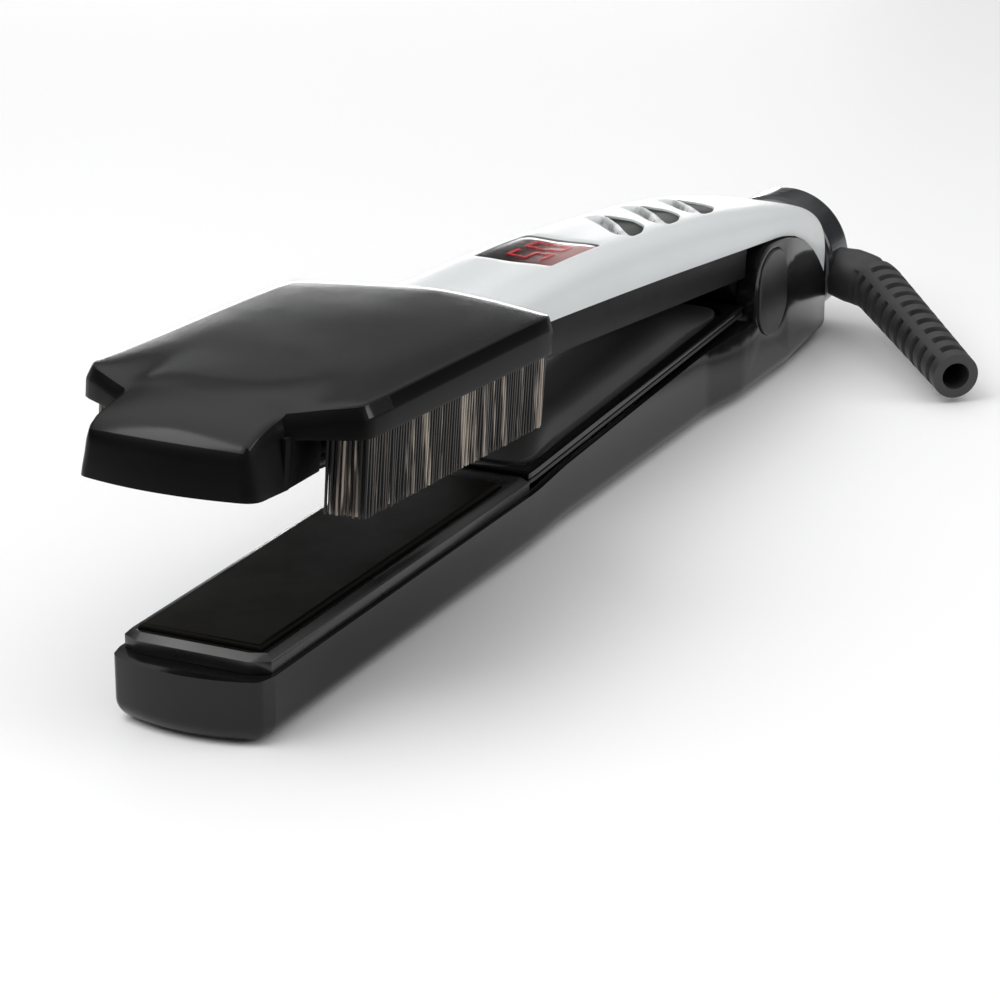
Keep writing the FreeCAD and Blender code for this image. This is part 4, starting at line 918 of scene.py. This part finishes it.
def glassFinish():
    # smoked glass: brown-black on the left, with a painted dusty pink reflection on the right that
    # stops at a dark band at the rear
    material = plainFinish("smokedGlass", glass["look"])
    tree = material.node_tree
    shader = tree.nodes["Principled BSDF"]
    turn = addNode(tree, "Mapping")
    turn.vector_type = "POINT"
    turn.inputs["Location"].default_value = glass["shift"]
    split = addNode(tree, "SeparateXYZ")
    toward = addNode(tree, "Math")
    toward.operation = "MULTIPLY_ADD"
    toward.inputs[1].default_value = glass["across"]
    # painted reflection: the pink grows towards the right
    pinkReflection = addRange(tree, *glass["pinkReflection"])
    pinkReflection.interpolation_type = "SMOOTHSTEP"
    band = addRange(tree, *glass["band"])
    inside = addNode(tree, "Math")
    inside.operation = "MULTIPLY"
    shades = addNode(tree, "ValToRGB")
    fillRamp(shades, glass["stops"])
    link(tree, addPlace(tree), turn.inputs["Vector"])
    link(tree, turn.outputs["Vector"], split.inputs["Vector"])
    link(tree, split.outputs["Y"], toward.inputs[0])
    link(tree, split.outputs["X"], toward.inputs[2])
    link(tree, toward.outputs["Value"], pinkReflection.inputs["Value"])
    link(tree, split.outputs["X"], band.inputs["Value"])
    link(tree, pinkReflection.outputs["Result"], inside.inputs[0])
    link(tree, band.outputs["Result"], inside.inputs[1])
    link(tree, inside.outputs["Value"], shades.inputs["Fac"])
    link(tree, shades.outputs["Color"], shader.inputs["Base Color"])
    return material


def buildCover():
    shell = coverTube("upperCover", 0.0, cover["thickness"], False)
    low, high = cover["cutLow"], cover["cutHigh"]
    cutWith(shell, leafOutline("windowCut", windowOutline(window["gap"]), low, high))
    for number in range(3):
        cutWith(shell, leafOutline("padCut", padOutline(number, pads["gap"]), pads["cutLow"], high))
    addBevel(shell, cover["bevel"])
    smoothShade(shell)
    swingOpen(shell)
    rides(shell, "upper_arm", finish["coverPearl"])
    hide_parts("upper_cover")


def buildInset(name, outline, values, material, body, nodeName):
    # a piece of the cover's own curve, let into its opening
    sheet = coverTube(name, values["sink"], values["thickness"], True)
    cutter = leafOutline(name + "Cut", outline, cover["cutLow"], cover["cutHigh"])
    cutWith(sheet, cutter, "INTERSECT")
    addBevel(sheet, cover["insetBevel"])
    smoothShade(sheet)
    swingOpen(sheet)
    rides(sheet, body, material)
    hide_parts(nodeName)


buildCover()
buildInset("displayWindow", windowOutline(0), window, glassFinish(), "upper_arm", "display_window")
buildDigits()
for number, (pieceName, body, nodeName) in enumerate((
    ("padFront", "front_button", "button_front"), ("padMiddle", "middle_button", "button_middle"),
    ("padRear", "rear_button", "button_rear"),
)):
    buildInset(pieceName, padOutline(number, 0), pads, finish["padRubber"], body, nodeName)
print("cover, window and pads done")


grip = {
    "front": -129.1, "rear": -13.0, "half": 15.3, "rows": 58, "columns": 20,
    "rimFlat": 12.7, "rimRear": 17.84, "riseFrom": -125.4, "riseTo": -13.0, "proud": 4.1,
    "crown": 4.4, "crownPower": 5.0, "crownInset": 3, "crownFront": 22, "crownRear": 26,
    "margin": 3.0, "groove": 1.25, "grooveDepth": 1.1, "wall": 1.2, "bite": 0.4, "bevel": 0.35,
    "overhang": 1.2, "outerCorner": 0.6, "holeCorner": 7.0, "panelCorner": 6.4,
    "cutLow": -10, "cutHigh": 50,
}


def gripTop(x, y, drop):
    climb, length = grip["rimRear"] - grip["rimFlat"], grip["riseTo"] - grip["riseFrom"]
    rise = climb * max(0, x - grip["riseFrom"]) / length
    inner = max(0, 1 - (abs(y) / (grip["half"] - grip["margin"])) ** grip["crownPower"])
    frontEnd = ease((x - grip["front"] - grip["crownInset"]) / grip["crownFront"])
    ends = frontEnd * ease((grip["rear"] - grip["crownInset"] - x) / grip["crownRear"])
    return grip["rimFlat"] + rise + grip["proud"] - drop + grip["crown"] * inner * ends


def gripSheet(name, drop):
    columns = grip["columns"]
    sides = [grip["half"] * across / columns for across in range(-columns, columns + 1)]
    rows = []
    for step in range(grip["rows"] + 1):
        x = grip["front"] + (grip["rear"] - grip["front"]) * step / grip["rows"]
        rows.append([(x, y, gripTop(x, y, drop)) for y in sides])
    return sheetFromRows(name, rows)


def gripOutline(inset, radius):
    front, rear = grip["front"] + inset + grip["overhang"], grip["rear"] - inset
    half = grip["half"] - inset
    corners = [(front, -half), (rear, -half), (rear, half), (front, half)]
    return roundedOutline(corners, radius, 8)


def buildGrip():
    # a rim and a crowned middle with a deep groove between them, over a floor that closes the groove
    outer = gripOutline(-grip["overhang"], grip["outerCorner"])
    hole = gripOutline(grip["margin"] - grip["groove"] / 2, grip["holeCorner"])
    panel = gripOutline(grip["margin"] + grip["groove"] / 2, grip["panelCorner"])
    layers = (
        # name, depth below the top, outline, hole, finish
        # the groove's floor carries painted shade, a darker black
        ("gripFloor", grip["grooveDepth"], outer, None, "grooveShadeBlack"),
        ("gripRim", 0, outer, hole, "armBlack"),
        # the panel's black is lightened to a grey, painted light
        ("gripPanel", 0, panel, None, "panelPaintedLight"),
    )
    for name, drop, kept, removed, look in layers:
        layer = gripSheet(name, drop)
        outwards(layer)
        addWall(layer, grip["wall"] if name == "gripFloor" else grip["grooveDepth"] + grip["bite"])
        edge = leafOutline(name + "Edge", kept, grip["cutLow"], grip["cutHigh"])
        cutWith(layer, edge, "INTERSECT")
        if removed:
            cutWith(layer, leafOutline(name + "Hole", removed, grip["cutLow"], grip["cutHigh"]))
        if name != "gripFloor":
            addBevel(layer, grip["bevel"])
        smoothShade(layer)
        rides(layer, "lower_arm", finish[look])
        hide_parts("lower_cover")


buildGrip()
print("grip panel done")


sleeve = {
    "ringMiddle": 49.9, "axis": 16.6, "droop": 9.1, "start": 11.6, "stem": 7.9,
    "bendRadius": 12.03, "turn": 50.0, "run": 56.0, "columns": 60,
    "neck": 4.6, "neckMarks": (0.0, 1.0, 2.2), "neckRun": 4,
    "rootRadius": 6.9, "tipRadius": 5.5, "bore": 3.3,
    "ribs": 11, "ribFrom": 9.0, "ribWidth": 3.0, "ribDepth": 1.25, "ribSlope": 0.25,
    "spine": 15.0, "spineAt": 45.0,
}


def sleevePath(along):
    # the middle line and the direction at a length along the sleeve, before the droop
    bend = math.radians(sleeve["turn"]) * sleeve["bendRadius"]
    first = sleeve["start"] + sleeve["stem"]
    if along <= sleeve["stem"]:
        return (sleeve["ringMiddle"], -(sleeve["start"] + along)), 0.0
    angle = min(along - sleeve["stem"], bend) / sleeve["bendRadius"]
    x = sleeve["ringMiddle"] - sleeve["bendRadius"] * (1 - math.cos(angle))
    y = -(first + sleeve["bendRadius"] * math.sin(angle))
    rest = max(0, along - sleeve["stem"] - bend)
    return (x - rest * math.sin(angle), y - rest * math.cos(angle)), angle


def sleeveRing(along, radiusAt):
    (x, y), angle = sleevePath(along)
    droop = math.radians(sleeve["droop"])
    fall, level = math.sin(droop), math.cos(droop)
    ring = []
    for step in range(sleeve["columns"] + 1):
        turn = 2 * math.pi * step / sleeve["columns"]
        radius = radiusAt(math.degrees(turn) % 360)
        side, up = radius * math.sin(turn), radius * math.cos(turn)
        px, py = x - side * math.cos(angle), y + side * math.sin(angle)
        ring.append((px, py * level - up * fall, sleeve["axis"] + py * fall + up * level))
    return ring


def buildSleeve():
    bend = math.radians(sleeve["turn"]) * sleeve["bendRadius"]
    total = sleeve["stem"] + bend + sleeve["run"]

    def full(along):
        return sleeve["rootRadius"] + (sleeve["tipRadius"] - sleeve["rootRadius"]) * along / total

    def onSpine(turn):
        gap = abs((turn - sleeve["spineAt"] + 90) % 180 - 90)
        return gap < sleeve["spine"]

    # lengths along the sleeve, and whether the ring there stands up or lies in a gap between ribs
    stem, half, slope = sleeve["stem"], sleeve["ribWidth"] / 2, sleeve["ribSlope"]
    marks = [(along, True) for along in sleeve["neckMarks"]]
    pitch = (total - stem - sleeve["ribFrom"] - sleeve["ribWidth"]) / (sleeve["ribs"] - 1)
    middles = [stem + sleeve["ribFrom"] + pitch * number for number in range(sleeve["ribs"])]
    plain = sleeve["ribFrom"] - sleeve["ribWidth"]
    marks += [(stem + share * plain, True) for share in (0, 0.25, 0.5, 0.75)]
    for middle in middles:
        marks.append((middle - half - slope, False))
        marks += [(middle + offset, True) for offset in (-half, 0, half)]
        if middle != middles[-1]:
            marks.append((middle + half + slope, False))
    rings = []
    for along, high in marks:
        stretch = ease(along / sleeve["neckRun"])

        def radiusAt(turn, along=along, high=high, stretch=stretch):
            radius = full(along) if high or onSpine(turn) else full(along) - sleeve["ribDepth"]
            return sleeve["neck"] + (radius - sleeve["neck"]) * stretch

        rings.append(sleeveRing(along, radiusAt))
    end = marks[-1][0]
    for radius in ((full(end) + sleeve["bore"]) / 2, sleeve["bore"]):
        rings.append(sleeveRing(end, lambda turn, radius=radius: radius))
    for along in [mark for mark, high in marks[::-1] if mark < end - 1]:
        rings.append(sleeveRing(along, lambda turn: sleeve["bore"]))
    rings.append(rings[0])
    tube = sheetFromRows("cordSleeve", rings)
    outwards(tube)
    smoothShade(tube, 40)
    rides(tube, "swivel", finish["sleeveRubber"])
    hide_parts("strain_relief")


buildSleeve()
print("cord sleeve done")


bristle = {
    "front": -227.0, "rear": -152.2, "inner": 20.6, "outer": 28.3, "columns": 72, "rows": 8,
    "rowShift": 0.11, "rootFront": 7.2, "rootRear": 11.6,
    "length": 16.6, "root": 0.4, "tip": 0.27, "sides": 5,
    "seed": 11, "splay": 0.14, "splayAcross": 0.6, "uneven": 0.25,
}


strands = {
    "scale": 430, "detail": 2, "squash": 0.03, "roughness": 0.42, "specular": 0.3,
    # place on the noise, and colour
    "stops": [
        (0.42, (0.004, 0.0036, 0.0033)), (0.62, (0.36, 0.31, 0.26)), (0.55, (0.03, 0.025, 0.021)),
    ],
}


def bristleFinish():
    # dark nylon with tan ones among them, as thin upright streaks
    material, tree, shader = newMaterial("bristleNylon")
    stretch = addNode(tree, "VectorMath")
    stretch.operation = "MULTIPLY"
    stretch.inputs[1].default_value = (1, 1, strands["squash"])
    noise = addNode(tree, "TexNoise")
    setInputs(noise, {"Scale": strands["scale"], "Detail": strands["detail"]})
    ramp = addNode(tree, "ValToRGB")
    fillRamp(ramp, strands["stops"])
    link(tree, addPlace(tree), stretch.inputs[0])
    link(tree, stretch.outputs[0], noise.inputs["Vector"])
    link(tree, noise.outputs["Fac"], ramp.inputs["Fac"])
    link(tree, ramp.outputs["Color"], shader.inputs["Base Color"])
    setInputs(shader, {
        "Roughness": strands["roughness"], "Specular IOR Level": strands["specular"],
    })
    return material


finish["bristleNylon"] = bristleFinish()


def buildBristles(side, name, nodeName):
    clearSelection()
    length = bristle["length"] * mm
    bpy.ops.mesh.primitive_cone_add(
        vertices=bristle["sides"], radius1=bristle["tip"] * mm, radius2=bristle["root"] * mm,
        depth=length, end_fill_type="NGON", location=(0, 0, -length / 2),
    )
    field = bpy.context.object
    field.name = name
    settle(field)
    steps = bristle["columns"] - 1
    columnStep = (bristle["rear"] - bristle["front"]) / steps
    rise = (bristle["rootRear"] - bristle["rootFront"]) / steps
    rowStep = (bristle["outer"] - bristle["inner"]) / (bristle["rows"] - 1)
    for count, offset in (
        (bristle["rows"], (columnStep * bristle["rowShift"], side * rowStep, 0)),
        (bristle["columns"], (columnStep, 0, rise)),
    ):
        repeat = field.modifiers.new("repeat", "ARRAY")
        repeat.use_relative_offset = False
        repeat.use_constant_offset = True
        repeat.count = count
        repeat.constant_offset_displace = [value * mm for value in offset]
        applyAll(field)
    field.location = (bristle["front"] * mm, side * bristle["inner"] * mm, bristle["rootFront"] * mm)
    settle(field)
    # every bristle leans and ends a little differently from the next
    lean = random.Random(bristle["seed"] + side)
    each = bristle["sides"] * 2
    verts = field.data.vertices
    for first in range(0, len(verts), each):
        group = [verts[index] for index in range(first, first + each)]
        middle = sum(vert.co.z for vert in group) / each
        shift = [lean.gauss(0, bristle["splay"]) * mm for _ in range(2)]
        up = lean.uniform(0, bristle["uneven"]) * mm
        for vert in group:
            if vert.co.z < middle:
                vert.co.x += shift[0]
                vert.co.y += shift[1] * bristle["splayAcross"]
                vert.co.z += up
    smoothShade(field, 60)
    swingOpen(field)
    rides(field, "brush_head", finish["bristleNylon"])
    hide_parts(nodeName)


buildBristles(-1, "bristlesRight", "bristles_right")
buildBristles(1, "bristlesLeft", "bristles_left")
print("bristles done")


studio = {
    "floor": 0.9, "floorRoughness": 0.55, "floorDrop": 0.4, "sky": 1.22,
    # height and brightness: a dark room with a large soft ceiling
    "ceiling": [(0.0, 0.07), (1.0, 1.0), (0.3, 0.08), (0.62, 0.55)],
}
lamps = {
    "softKey": {"at": (-0.55, 0.35, 0.75), "size": (0.7, 0.7), "power": 4.8, "aim": (-0.1, 0, 0)},
    "backStrip": {
        "at": (0.8, 0.52, 0.055), "size": (0.5, 0.06), "power": 1.1, "aim": (-0.15, 0, 0.05),
    },
    "sideFill": {
        "at": (0.1, -0.7, 0.3), "size": (0.5, 0.3), "power": 1.5, "aim": (-0.1, 0, 0.02),
    },
}
viewpoint = {"at": (-0.7683, -0.3204, 0.2661), "downward": 19.8, "turn": -64.0, "lens": 129.8}


def buildStage():
    clearSelection()
    bpy.ops.mesh.primitive_plane_add(size=6, location=(0, 0, -studio["floorDrop"] * mm))
    floor = bpy.context.object
    floor.name = "floor"
    paper, _, shader = newMaterial("palePaper")
    setInputs(shader, {
        "Base Color": (*[studio["floor"]] * 3, 1), "Roughness": studio["floorRoughness"],
    })
    floor.data.materials.append(paper)
    world = bpy.data.worlds.new("studio")
    bpy.context.scene.world = world
    world.use_nodes = True
    sky = world.node_tree
    place = addNode(sky, "TexCoord")
    split = addNode(sky, "SeparateXYZ")
    height = addNode(sky, "ValToRGB")
    fillRamp(height, [(level, (light,) * 3) for level, light in studio["ceiling"]])
    link(sky, place.outputs["Generated"], split.inputs["Vector"])
    link(sky, split.outputs["Z"], height.inputs["Fac"])
    link(sky, height.outputs["Color"], sky.nodes["Background"].inputs["Color"])
    sky.nodes["Background"].inputs["Strength"].default_value = studio["sky"]
    for name, lamp in lamps.items():
        bpy.ops.object.light_add(type="AREA", location=lamp["at"])
        light = bpy.context.object
        light.name = name
        light.data.shape = "RECTANGLE"
        light.data.size, light.data.size_y = lamp["size"]
        light.data.energy = lamp["power"]
        aim = light.location.copy()
        for axis in range(3):
            aim[axis] -= lamp["aim"][axis]
        light.rotation_euler = aim.to_track_quat("Z", "Y").to_euler()
    bpy.ops.object.camera_add(
        location=viewpoint["at"],
        rotation=(math.radians(90 - viewpoint["downward"]), 0, math.radians(viewpoint["turn"])),
    )
    camera = bpy.context.object
    camera.data.lens = viewpoint["lens"]
    camera.data.sensor_width = 36
    camera.data.clip_start = 0.01
    bpy.context.scene.camera = camera
    bpy.context.scene.view_settings.view_transform = "Standard"


buildStage()
print("stage done")
